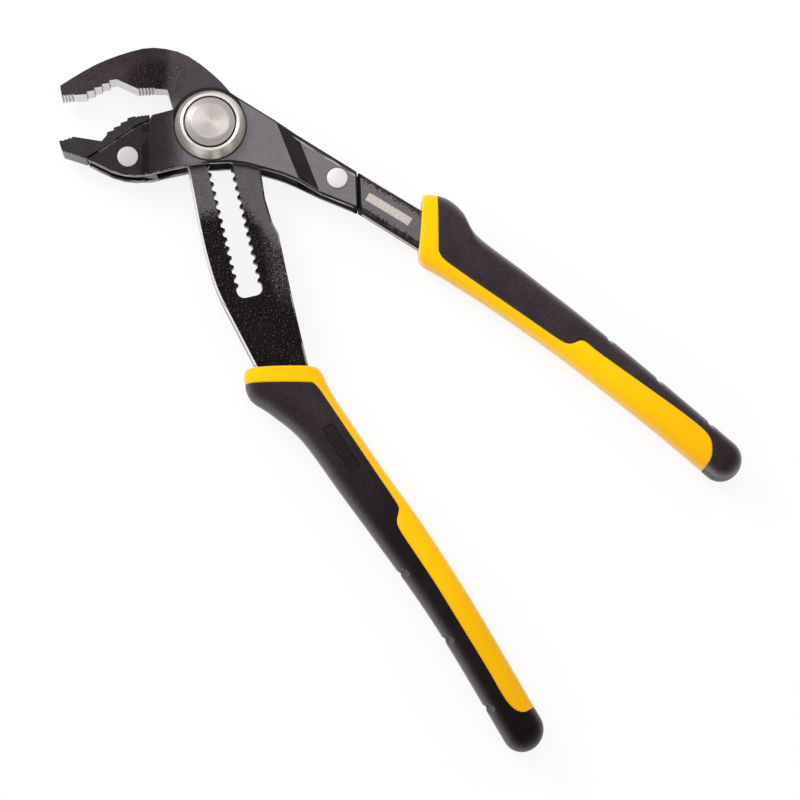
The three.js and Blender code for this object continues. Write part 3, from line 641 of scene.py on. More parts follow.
@dataclass(frozen=True)
class CheekSteel(CoatedSteel):
    """The cheek plates: ground round the pivot, coated towards the jaw."""

    upper_edge: Point = (9.44, 12.17)
    upper_edge_fall: float = 32.2
    shank_end: float = 55.2
    housing_line: float = 14.0

    def coat(self, site: Site) -> Signal:
        """The jaw end keeps its coat, with a soft fringe; a band inside the upper edge at the shank end is
        painted dark as a chamfer's shade, and the plate is a little darker towards the pivot.

        Args:
            site: Where the finish is laid.

        Returns:
            The share of the coat.
        """
        reach = site.x + site.y * 0.12 + site.wander(6.0, 4.0) + (site.noise(0.7) - 0.5) * 4.0
        # Painted shade: a dark band inside the upper edge at the shank end stands for a chamfer's shade.
        rim = (1.0 - self.inward(site).rise(1.3, 1.6)) * site.x.rise(31.0, 34.0)
        # The plate is a little darker towards the pivot.
        darker_towards_pivot = (1.0 - site.x.rise(10.0, 42.0)) * 0.14
        return (1.0 - reach.rise(-18.5, -5.0)).most(rim * 0.9).most(darker_towards_pivot)

    def inward(self, site: Site) -> Signal:
        """Distance in from the straight upper edge, wavering a little."""
        return site.below(self.upper_edge, self.upper_edge_fall) + site.wander(5.0, 0.7)

    def bare_and_highlights(self, site: Site) -> Signal | None:
        """Bright bare metal is painted as a line inside the upper edge at the shank end, as a chamfer's
        highlight, and in streaks on the lower wall, as its reflections.

        Args:
            site: Where the finish is laid.

        Returns:
            The share of bare metal.
        """
        # Painted highlight: a bright line inside the upper edge, with painted reflections in streaks on the
        # lower wall.
        line = (1.0 - abs(self.inward(site) - 1.7).rise(0.14, 0.34)) * site.nz.rise(0.9, 0.96)
        edge = line * site.x.rise(31.0, 34.0) * site.noise(6.0).rise(0.3, 0.6) * 0.65
        drawn = site.bench.stretch(site.place, (0.12, 0.12, 1.3))
        streaks = site.bench.noise(drawn, 1.0).rise(0.5, 0.6)
        lower = (-site.ny).rise(0.4, 0.6) * (1.0 - site.nz.rise(0.75, 0.9))
        return edge.most(lower * streaks * 0.7)

    def painted_shade(self, site: Site) -> Signal | None:
        """Painted shade: the shank end, the long edges and a line round the housing, broad above it, are
        painted black.

        Args:
            site: Where the finish is laid.

        Returns:
            The share of black.
        """
        # Painted shade in the seam at the shank end and along the long edges.
        end = site.x.rise(self.shank_end, self.shank_end + 0.5) * (1.0 - site.nz.rise(0.95, 0.98))
        bevel = site.nz.rise(0.1, 0.25) * (1.0 - site.nz.rise(0.97, 0.99))
        edge = abs(site.ny).rise(0.12, 0.25) * bevel
        # Painted shadow of the housing on the plate, broader above it.
        radius = (site.x * site.x + site.y * site.y).root()
        broad = (site.y * 0.9 - site.x * 0.2).rise(3.0, 10.0) * 1.3
        inside = 1.0 - (radius - broad).rise(self.housing_line, self.housing_line + 0.4)
        ring = inside * site.z.rise(MIDDLE, MIDDLE + 1.0)
        return end.most(edge * site.x.rise(-8.0, 0.0) * 0.9).most(ring * 0.9)


@dataclass(frozen=True)
class JawSteel(CoatedSteel):
    """The lower jaw: coated all over, with bright tooth walls."""

    def coat(self, site: Site) -> Signal:
        """All of it keeps its coat, a little rubbed."""
        return site.noise(5.0) * 0.15 + 0.85

    def bare_and_highlights(self, site: Site) -> Signal | None:
        """Tooth walls are bare."""
        wall = 1.0 - site.nz.rise(0.35, 0.6)
        return wall * site.ny.rise(0.0, 0.3) * site.y.rise(-9.0, -7.5)


@dataclass(frozen=True)
class ShankSteel(CoatedSteel):
    """The shank: ground, with scuffs of coat along both long edges and a bright blank plate."""

    plate: Panel = Panel((69.1, -32.6), -31.6, (9.7, 1.65), 0.1)
    upper_edge: Point = (56.8, -17.7)
    upper_edge_fall: float = 31.4
    lower_edge: Point = (57.3, -32.4)
    lower_edge_fall: float = 32.2
    cheek_end: float = 58.7
    # Height of the painted highlight line on the lower side.
    highlight_line: float = 8.8

    def coat(self, site: Site) -> Signal:
        """Scuffs follow the two long edges.

        Args:
            site: Where the finish is laid.

        Returns:
            The share of the coat.
        """
        from_top = site.below(self.upper_edge, self.upper_edge_fall)
        from_low = -site.below(self.lower_edge, self.lower_edge_fall)
        inward = (from_top - 0.7).least(from_low - 0.4)
        scuffs = 1.0 - (inward + site.wander(3.2, 4.0) + (site.noise(0.8) - 0.5) * 4.0).rise(0.6, 1.6)
        return scuffs * (1.0 - self.on_plate(site))

    def on_plate(self, site: Site) -> Signal:
        """1 on the blank plate of the upper face."""
        inside = 1.0 - (self.plate.edge(site) + site.wander(0.8, 0.5)).rise(-0.1, 0.1)
        return inside * site.z.rise(MIDDLE, MIDDLE + 1.0)

    def lower_side(self, site: Site) -> Signal:
        """1 on the wall along the lower edge."""
        return (-site.ny).rise(0.5, 0.7) * (1.0 - site.nz.rise(0.5, 0.8))

    def bare_and_highlights(self, site: Site) -> Signal | None:
        """The plate is bright bare metal, and a bright line painted along the lower side stands for a
        highlight.
        """
        line = 1.0 - abs(site.z - self.highlight_line + site.wander(4.0, 1.5)).rise(0.7, 1.5)
        return (self.on_plate(site) * 0.9).most(self.lower_side(site) * line * 0.9)

    def painted_shade(self, site: Site) -> Signal | None:
        """Painted shade: the end that meets the cheek and the upper part of the lower side are painted
        black.

        Args:
            site: Where the finish is laid.

        Returns:
            The share of black.
        """
        end = 1.0 - site.x.rise(self.cheek_end, self.cheek_end + 0.5)
        above = site.z.rise(self.highlight_line + 1.0, self.highlight_line + 1.6)
        return (end * (1.0 - site.nz.rise(0.95, 0.98))).most(self.lower_side(site) * above)


@dataclass(frozen=True)
class TurnedSteel(Finish):
    """Bright steel turned on a lathe, with fine rings round an axis."""

    axis: Point = (0.0, 0.0)
    colour: Colour = srgb(214, 208, 203)
    roughness: float = 0.27
    anisotropy: float = 0.75
    grain_turn: float = 0.25
    ring_pitch: float = 0.45
    ring_depth: float = 0.012
    # Inner and outer radius of a ring coloured darker than the rest.
    darker_ring: Point = (0.0, 0.0)

    def lay(self, bench: NodeBench) -> Signal:
        """Lays rings of cutting marks, a faint stain and a ring coloured darker.

        Args:
            bench: The bench of the material.

        Returns:
            The shader output.
        """
        place = bench.place()
        x, y, z = bench.axes(place)
        across, along = x - self.axis[0], y - self.axis[1]
        radius = (across * across + along * along).root()
        level = bench.add("ShaderNodeCombineXYZ", None, {0: radius, 1: z})
        rings = bench.noise(level, self.ring_pitch, 2.0, 0.7)
        stain = bench.noise(place, 6.0, 2.0)
        fine = bench.noise(place, 0.35, 2.0, 0.6)
        tone = ((rings - 0.5) * 0.9 + (stain - 0.5) * 0.5 + (fine - 0.5) * 0.25 + 0.5).rise(0.0, 1.0)
        inner, outer = self.darker_ring
        ring = radius.rise(inner - 0.05, inner + 0.05)
        ring = ring * (1.0 - radius.rise(outer - 0.05, outer + 0.05))
        darker = tuple(0.72 * channel for channel in self.colour)
        return bench.surface(
            Base_Color=bench.mix(tone * (1.0 - ring), darker, self.colour),
            Metallic=1.0,
            Roughness=self.roughness + (rings - 0.5) * 0.16,
            Anisotropic=self.anisotropy,
            Anisotropic_Rotation=self.grain_turn,
            Normal=bench.bump(rings, self.ring_depth),
        )


@dataclass(frozen=True)
class OiledSteel(Finish):
    """Plain machined steel of the pieces inside, with a film of oil."""

    colour: Colour = srgb(150, 146, 142)

    def lay(self, bench: NodeBench) -> Signal:
        """Lays machining marks and oil blotches.

        Args:
            bench: The bench of the material.

        Returns:
            The shader output.
        """
        place = bench.place()
        marks = bench.noise(bench.stretch(place, (0.2, 3.0, 3.0)), 0.8, 2.0)
        oil = bench.noise(place, 3.0, 2.0)
        dark = tuple(0.55 * channel for channel in self.colour)
        return bench.surface(
            Base_Color=bench.mix(oil.rise(0.35, 0.7), dark, self.colour),
            Metallic=1.0,
            Roughness=0.3 + marks * 0.2,
            Normal=bench.bump(marks, 0.01),
        )


@dataclass(frozen=True)
class HardGrip(Finish):
    """Hard yellow moulding, with painted shade that makes it darker towards the grip's tip."""

    # Colours near the collar and at the tip, the second darkened as painted shade.
    near: Colour
    far: Colour
    sheen: float = 0.5
    parting: float = MIDDLE + 1.8
    parting_colour: Colour = srgb(90, 66, 6)

    def lay(self, bench: NodeBench) -> Signal:
        """Lays painted shade along the grip, a fine moulded skin and the parting line.

        Args:
            bench: The bench of the material.

        Returns:
            The shader output.
        """
        site = Site.on(bench)
        # Painted shade: the colour darkens from near to far towards the tip, where less light falls.
        reach = site.outwards().rise(155.0, 255.0)
        skin = site.noise(0.5, 2.0, 0.6)
        cloud = site.noise(22.0)
        line = 1.0 - abs(site.z - self.parting).rise(0.2, 0.32)
        colour = bench.mix((reach + (cloud - 0.5) * 0.3).most(0.0).least(1.0), self.near, self.far)
        return bench.surface(
            Base_Color=bench.mix(line * 0.9, colour, self.parting_colour),
            Roughness=0.3 + (cloud - 0.5) * 0.1 + (skin - 0.5) * 0.1,
            Specular_IOR_Level=0.08,
            Sheen_Weight=self.sheen,
            Sheen_Roughness=0.3,
            Normal=bench.bump(skin * 0.012 - line * 0.08, 1.0),
        )


@dataclass(frozen=True)
class SoftGrip(Finish):
    """Soft black moulding with a matt, finely pitted skin."""

    dark: Colour = srgb(9, 4, 6)
    pale: Colour = srgb(34, 25, 28)
    # Colours of the painted light near the collar.
    dark_near_collar: Colour = srgb(35, 26, 30)
    pale_near_collar: Colour = srgb(66, 56, 61)
    # Colour of the painted sheen on the rounded sides.
    rubbed_and_sheen: Colour = srgb(150, 140, 144)
    painted_side_sheen: float = 0.55
    painted_light_to: float = 255.0
    panel: Panel | None = None

    def lay(self, bench: NodeBench) -> Signal:
        """Lays a fine matt grain with faint rubbed clouds, painted light that makes it paler near the
        collar, painted shade at the tip, a painted sheen on the sides and the parting line.

        Args:
            bench: The bench of the material.

        Returns:
            The shader output.
        """
        site = Site.on(bench)
        reach = site.outwards() + site.wander(15.0, 20.0)
        # Painted light: paler near the collar, fading to the plain colours further out.
        painted_light_near_collar = 1.0 - reach.rise(self.painted_light_to - 60.0, self.painted_light_to)
        grain = site.noise(0.55, 3.0, 0.7)
        cloud = site.noise(15.0, 3.0, 0.6)
        line = 1.0 - abs(site.z - MIDDLE).rise(0.1, 0.2)
        sunk: Value = 0.0
        if self.panel is not None:
            edge = self.panel.edge(site)
            sunk = (1.0 - abs(edge).rise(0.15, 0.4)).most((1.0 - edge.rise(-0.3, 0.0)) * 0.5)
            sunk = sunk * site.z.rise(MIDDLE + 5.0, MIDDLE + 6.0)
        tone = ((grain - 0.5) * 1.4 + (cloud - 0.5) * 0.8 + 0.45).rise(0.0, 1.0)
        # Painted shade: the plain colours darken towards the tip.
        plain = bench.mix(tone * (1.0 - reach.rise(215.0, 250.0) * 0.8), self.dark, self.pale)
        wear_and_painted_light = bench.mix(tone, self.dark_near_collar, self.pale_near_collar)
        # Painted sheen: the rounded sides are lightened towards a pale grey.
        side = site.nz.rise(0.05, 0.4) * (1.0 - site.nz.rise(0.35, 0.95))
        sheen_share = (side * (self.painted_side_sheen + (grain - 0.5) * 0.6)).most(0.0)
        colour = bench.mix(sheen_share, bench.mix(painted_light_near_collar, plain, wear_and_painted_light), self.rubbed_and_sheen)
        return bench.surface(
            Base_Color=bench.mix(line.most(sunk) * 0.8, colour, self.dark),
            Roughness=0.5 + (cloud - 0.5) * 0.14 + (grain - 0.5) * 0.14,
            Specular_IOR_Level=0.1,
            Sheen_Weight=0.4,
            Sheen_Roughness=0.3,
            Normal=bench.bump(grain * 0.03 - line * 0.08, 1.0),
        )


@dataclass(frozen=True)
class StudioFloor(Finish):
    """White sheet that reads as plain white in the picture and keeps a faint shadow."""

    glow: float = 0.86
    glow_in_reflections: float = 0.62

    def lay(self, bench: NodeBench) -> Signal:
        """Lays a white sheet, mostly self-lit to the camera and partly in reflections.

        Args:
            bench: The bench of the material.

        Returns:
            The shader output.
        """
        sheet = bench.add("ShaderNodeBsdfDiffuse", None, {"Color": (0.9, 0.9, 0.9)})
        white = bench.add("ShaderNodeEmission", None, {"Color": (1.0, 1.0, 1.0), "Strength": 1.0})
        rays = bench.add("ShaderNodeLightPath").socket.node.outputs
        camera, glossy = (Signal(bench, rays[f"Is {kind} Ray"]) for kind in ("Camera", "Glossy"))
        seen = (camera * self.glow).most(glossy * self.glow_in_reflections)
        return bench.add("ShaderNodeMixShader", None, {0: seen, 1: sheet, 2: white})


# Outlines


def spline(points: Sequence[Point], share: float) -> Vector:
    """A point of the smooth curve through given points.

    Args:
        points: Points that the curve passes.
        share: Place along it, from 0 at the first point to 1 at the last.

    Returns:
        The point on the curve.
    """
    last = len(points) - 1
    step = min(int(share * last), last - 1)
    t = share * last - step
    p0, p1, p2, p3 = (Vector(points[min(max(step + k, 0), last)]) for k in (-1, 0, 1, 2))
    v1, v2 = (p2 - p0) / 2, (p3 - p1) / 2
    cubic, square = 2 * p1 - 2 * p2 + v1 + v2, -3 * p1 + 3 * p2 - 2 * v1 - v2
    return cubic * t**3 + square * t**2 + v1 * t + p1


def rounded(
    points: Sequence[Point], reach: float, steps: int = 4, closed: bool = False
) -> list[Vector]:
    """A polyline with its corners rounded.

    Args:
        points: Corners of the polyline.
        reach: How far from a corner its rounding starts, at most.
        steps: Steps of each rounding.
        closed: Whether the last point joins the first.

    Returns:
        The points of the rounded polyline.
    """
    corners = [Vector(point) for point in points]
    count = len(corners)
    line: list[Vector] = []
    for index, corner in enumerate(corners):
        if not closed and index in (0, count - 1):
            line.append(corner)
            continue
        before, after = corners[index - 1], corners[(index + 1) % count]
        start, end = (
            corner + (other - corner).normalized() * min(reach, (other - corner).length * 0.45)
            for other in (before, after)
        )
        for step in range(steps + 1):
            t = step / steps
            line.append(start * (1 - t) ** 2 + corner * 2 * t * (1 - t) + end * t**2)
    return line


def smoothstep(value: float, low: float, high: float) -> float:
    """Smooth step from 0 at low to 1 at high."""
    t = min(max((value - low) / (high - low), 0.0), 1.0)
    return t * t * (3 - 2 * t)


def last_before(holds: Callable[[float], bool], high: float) -> float:
    """The place, from 0 on, up to which a test holds.

    Args:
        holds: The test.
        high: A place at which it no longer holds.

    Returns:
        The last place at which it holds.
    """
    low = 0.0
    for _ in range(HALVINGS):
        middle = (low + high) / 2
        if holds(middle):
            low = middle
        else:
            high = middle
    return low


# Pieces


@dataclass
class Workshop:
    """Makes pieces of finished meshes and gives carried-over nodes their finish."""

    nodes: Mapping[str, bpy.types.Object]
    made: list[bpy.types.Object] = field(default_factory=list)

    def piece(
        self,
        name: str,
        form: bmesh.types.BMesh,
        finish: bpy.types.Material,
        body: Body,
        slot: Slot,
        node: str,
    ) -> bpy.types.Object:
        """Makes one piece that rides on a body and stands for a CAD node.

        Args:
            name: Name of the piece.
            form: Its mesh in millimetres, which is used up.
            finish: Its material.
            body: The body that carries it.
            slot: The record's slot for its finish; not used.
            node: The CAD node that it replaces.

        Returns:
            The new object.
        """
        form.normal_update()
        for edge in form.edges:
            angle = edge.calc_face_angle() if edge.is_manifold else 0.0
            edge.smooth = angle < SMOOTH_BELOW and not (is_bend(edge) and angle > BEND_FROM)
        bmesh.ops.scale(form, vec=(MM, MM, MM), verts=form.verts)
        mesh = bpy.data.meshes.new(name)
        form.to_mesh(mesh)
        form.free()
        mesh.materials.append(finish)
        mesh.polygons.foreach_set("use_smooth", [True] * len(mesh.polygons))
        made = bpy.data.objects.new(name, mesh)
        bpy.context.scene.collection.objects.link(made)
        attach(made, body.value)
        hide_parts(node)
        self.made.append(made)
        return made

    def copy(self, node: str, weld: float) -> bmesh.types.BMesh:
        """A copy of a CAD node's mesh with flat areas as single faces.

        Args:
            node: Name of the CAD node.
            weld: Edges shorter than this, in millimetres, are closed up.

        Returns:
            The copy in millimetres.
        """
        form = bmesh.new()
        form.from_mesh(self.nodes[node].data)
        bmesh.ops.scale(form, vec=(1 / MM,) * 3, verts=form.verts)
        bmesh.ops.remove_doubles(form, verts=form.verts, dist=0.002)
        bmesh.ops.dissolve_limit(form, angle_limit=FLAT_WITHIN, verts=form.verts, edges=form.edges)
        bmesh.ops.remove_doubles(form, verts=form.verts, dist=weld)
        return form

    def dress(self, node: str, finish: bpy.types.Material) -> None:
        """Gives a carried-over CAD node a finish.

        Args:
            node: Name of the CAD node.
            finish: Its material.
        """
        slots = self.nodes[node].data.materials
        slots.clear()
        slots.append(finish)
        self.made.append(self.nodes[node])


def is_bend(edge: bmesh.types.BMEdge) -> bool:
    """Whether an edge is a bend between two broad areas of a plate."""
    return all(abs(face.normal.z) > 0.7 and face.calc_area() > 2.0 for face in edge.link_faces)


def ease(form: bmesh.types.BMesh, width: float, inside: float, segments: int = 3) -> None:
    """Rounds the sharp edges of a plate or forging, except at seats and deep inside.

    Args:
        form: The mesh to change.
        width: Width of the rounding in millimetres.
        inside: Edges that come nearer than this to the tool's middle plane stay as they are.
        segments: Steps of the rounding.
    """
    form.normal_update()
    chosen = []
    for edge in form.edges:
        start, end = (vertex.co for vertex in edge.verts)
        deep = min(abs(start.z - MIDDLE), abs(end.z - MIDDLE)) < inside
        middle = ((start + end) / 2).xy
        seated = any((middle - Vector(seat)).length < reach for seat, reach in SEATS)
        sharp = edge.is_manifold and edge.calc_face_angle() > SHARP_FROM
        if sharp and not deep and not seated and not is_bend(edge):
            chosen.append(edge)
    bmesh.ops.bevel(
        form,
        geom=chosen,
        offset=width,
        offset_type="OFFSET",
        segments=segments,
        profile=0.5,
        affect="EDGES",
        clamp_overlap=False,
        material=-1,
        loop_slide=True,
    )


def turned(profile: Iterable[Sequence[float]], steps: int, axis: Point = (0.0, 0.0)) -> bmesh.types.BMesh:
    """A closed turned form.

    Args:
        profile: Closed outline of [radius, height] points.
        steps: Steps round the axis.
        axis: Place of the upright axis.

    Returns:
        The new mesh.
    """
    form = bmesh.new()
    ring = [form.verts.new((axis[0] + radius, axis[1], height)) for radius, height in profile]
    edges = [form.edges.new((ring[i - 1], ring[i])) for i in range(len(ring))]
    bmesh.ops.spin(
        form,
        geom=[*ring, *edges],
        cent=(*axis, 0.0),
        axis=(0.0, 0.0, 1.0),
        angle=2 * math.pi,
        steps=steps,
        use_merge=True,
    )
    bmesh.ops.remove_doubles(form, verts=form.verts, dist=0.001)
    bmesh.ops.dissolve_degenerate(form, edges=form.edges, dist=0.0005)
    bmesh.ops.recalc_face_normals(form, faces=form.faces)
    return form


@dataclass
class SlottedLever:
    """Upper jaw, toothed bar and tang in one forging."""

    edge: float = 0.16
    edge_steps: int = 2
    weld: float = 0.02
    inside: float = 3.5
    slot_lean: float = 13.4

    def build(self, shop: Workshop) -> None:
        """Builds and dresses the forging.

        Args:
            shop: Where the piece is made.
        """
        node = "slotted_lever"
        form = shop.copy(node, self.weld)
        ease(form, self.edge, self.inside, self.edge_steps)
        finish = LeverSteel(
            "hammered_forging",
            grey=srgb(106, 101, 103),
            black=srgb(12, 5, 5),
            rubbed_and_sheen=srgb(27, 17, 18),
            bright=srgb(248, 245, 250),
            gloss=0.1,
            pits=0.26,
            slot_lean=self.slot_lean,
            grain_turn=math.radians(-self.slot_lean),
        )
        made = shop.piece(
            "slotted_lever_forging", form, finish.material(), Body.SLOTTED, Slot.BLACK, node
        )
        weigh_normals(made)


def weigh_normals(made: bpy.types.Object) -> None:
    """Keeps large flat faces flat in the shading beside their rounded edges."""
    weighted = made.modifiers.new("flat_faces", "WEIGHTED_NORMAL")
    weighted.keep_sharp = True


@dataclass
class FixedLever:
    """Two cheek plates, the lower jaw and the shank, riveted together."""

    cheek_edge: float = 0.7
    cheek_weld: float = 0.02
    jaw_edge: float = 0.35
    jaw_weld: float = 0.31
    jaw_inside: float = 3.5
    shank_edge: float = 1.0
    shank_weld: float = 0.45
    shank_inside: float = 3.0
    rivet_radius: float = 4.0
    rivet_shaft: float = 3.0
    rivet_head: float = 0.6
    rivet_steps: int = 56
    rivets: Mapping[str, tuple[Point, Colour]] = field(
        default_factory=lambda: {
            "jaw_rivet": (JAW_RIVET, srgb(208, 205, 205)),
            "shank_rivet": (SHANK_RIVET, srgb(245, 242, 240)),
        }
    )

    def build(self, shop: Workshop) -> None:
        """Builds and dresses the plates, the jaw, the shank and the rivets.

        Args:
            shop: Where the pieces are made.
        """
        plate = CheekSteel("ground_cheek", grey=srgb(134, 129, 133)).material()
        jaw = JawSteel("coated_jaw").material()
        shank = ShankSteel("ground_shank", bright=srgb(212, 201, 195), edge_wear=0.2).material()
        cheek_sizes = (self.cheek_weld, self.cheek_edge, 0.0)
        jaw_sizes = (self.jaw_weld, self.jaw_edge, self.jaw_inside)
        shank_sizes = (self.shank_weld, self.shank_edge, self.shank_inside)
        rows = (
            ("front_cheek", "front_cheek_plate", cheek_sizes, plate, Slot.PLATE),
            ("rear_cheek", "rear_cheek_plate", cheek_sizes, plate, Slot.PLATE),
            ("lower_jaw", "lower_jaw_forging", jaw_sizes, jaw, Slot.BLACK),
            ("handle_shank", "handle_shank_blade", shank_sizes, shank, Slot.PLATE),
        )
        for node, name, (weld, width, inside), finish, slot in rows:
            form = shop.copy(node, weld)
            ease(form, width, inside)
            weigh_normals(shop.piece(name, form, finish, Body.FIXED, slot, node))
        for node, (axis, colour) in self.rivets.items():
            self.rivet(shop, node, axis, colour)

    def rivet(self, shop: Workshop, node: str, axis: Point, colour: Colour) -> None:
        """Builds one rivet with a low head on each side.

        Args:
            shop: Where the piece is made.
            node: The CAD node that it replaces.
            axis: Place of its axis.
            colour: Colour of its steel.
        """
        low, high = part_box(node)
        top = (high.z - low.z) / 2 / MM
        under = top - self.rivet_head
        head = [(self.rivet_shaft, under), (self.rivet_radius, under), (self.rivet_radius, top), (0.0, top)]
        outline = rounded(head, reach=0.2)
        outline += [Vector((point.x, -point.y)) for point in reversed(outline)]
        profile = [(point.x, point.y + MIDDLE) for point in outline]
        finish = TurnedSteel(
            f"{node}_steel", axis, colour, roughness=0.5, anisotropy=0.0, ring_pitch=0.006
        )
        form = turned(profile, self.rivet_steps, axis)
        shop.piece(node, form, finish.material(), Body.FIXED, Slot.BRIGHT, node)


@dataclass
class PivotLock:
    """Push button in its housing, the rear cap and the hidden lock parts."""

    steps: int = 144
    housing_radius: float = 13.7
    housing_height: float = 5.6
    housing_wall: float = 0.6
    rim_radius: float = 11.4
    bore_radius: float = 10.25
    bore_depth: float = 3.3
    chamber_radius: float = 11.2
    spigot_radius: float = 12.3
    seat_gap: float = 0.1
    button_radius: float = 9.6
    button_bevel: float = 1.3
    flange_radius: float = 11.0
    flange_height: float = 1.0
    face_radius: float = 7.5
    face_groove: float = 0.16
    face_rings: Sequence[float] = (6.4, 5.6, 4.8, 4.0, 3.2, 2.4, 1.6, 0.8)
    ring_half: float = 0.3
    ring_depth: float = 0.03
    cap_radius: float = 12.0
    cap_bevel: float = 1.0
    cap_dish: float = 0.25
    plug_radius: float = 9.6
    plug_height: float = 1.3
    hidden: Mapping[str, str] = field(
        default_factory=lambda: {
            "pivot_guide": "guide_steel",
            "lock_key": "key_steel",
            "return_spring": "spring_steel",
        }
    )

    def build(self, shop: Workshop) -> None:
        """Builds and dresses the housing, the button and the cap, and dresses what they hide.

        Args:
            shop: Where the pieces are made.
        """
        self.housing(shop)
        self.button(shop)
        self.cap(shop)
        for node, name in self.hidden.items():
            shop.dress(node, OiledSteel(name).material())

    def housing(self, shop: Workshop) -> None:
        """Builds the conical housing ring.

        Args:
            shop: Where the piece is made.
        """
        low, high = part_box("button_housing")
        foot, rim = low.z / MM, high.z / MM
        face = rim - self.housing_height
        corners = [
            (self.chamber_radius, foot),
            (self.spigot_radius, foot),
            (self.spigot_radius, face + self.seat_gap),
            (self.housing_radius, face + self.seat_gap),
            (self.housing_radius, face + self.housing_wall),
            (self.rim_radius, rim),
            (self.bore_radius, rim),
            (self.bore_radius, rim - self.bore_depth),
            (self.chamber_radius, rim - self.bore_depth),
        ]
        finish = TurnedSteel("turned_housing", colour=srgb(232, 224, 217), ring_pitch=0.5, roughness=0.34)
        form = turned(rounded(corners, reach=0.2, closed=True), self.steps)
        shop.piece(
            "button_housing_ring", form, finish.material(), Body.FIXED, Slot.BRIGHT, "button_housing"
        )

    def button(self, shop: Workshop) -> None:
        """Builds the push button with turned rings on its face.

        Args:
            shop: Where the piece is made.
        """
        low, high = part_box("push_button")
        foot, top = low.z / MM, high.z / MM
        corners = [
            (0.0, foot),
            (self.flange_radius, foot),
            (self.flange_radius, foot + self.flange_height),
            (self.button_radius, foot + self.flange_height),
            (self.button_radius, top - self.button_bevel),
            (self.face_radius, top),
            (self.face_radius - 0.15, top - self.face_groove),
            (self.face_radius - 0.45, top),
        ]
        for radius in self.face_rings:
            corners += [
                (radius + self.ring_half, top),
                (radius, top - self.ring_depth),
                (radius - self.ring_half, top),
            ]
        corners.append((0.0, top))
        finish = TurnedSteel(
            "turned_button",
            colour=srgb(206, 199, 194),
            ring_pitch=0.3,
            roughness=0.42,
            anisotropy=0.5,
            darker_ring=(self.face_radius + 0.05, self.button_radius + 0.1),
        )
        form = turned(rounded(corners, reach=0.12), self.steps)
        shop.piece("push_button_face", form, finish.material(), Body.BUTTON, Slot.BRIGHT, "push_button")

    def cap(self, shop: Workshop) -> None:
        """Builds the flat cap behind the pivot.

        Args:
            shop: Where the piece is made.
        """
        low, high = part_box("rear_cap")
        foot, top = low.z / MM, high.z / MM
        corners = [
            (0.0, foot + self.cap_dish),
            (3.0, foot + self.cap_dish),
            (3.4, foot),
            (self.cap_radius - self.cap_bevel, foot),
            (self.cap_radius, foot + self.cap_bevel),
            (self.cap_radius, top - self.plug_height),
            (self.plug_radius, top - self.plug_height),
            (self.plug_radius, top),
            (0.0, top),
        ]
        finish = TurnedSteel("turned_cap", ring_pitch=0.6)
        form = turned(rounded(corners, reach=0.3), self.steps)
        shop.piece("rear_cap_disc", form, finish.material(), Body.FIXED, Slot.BRIGHT, "rear_cap")


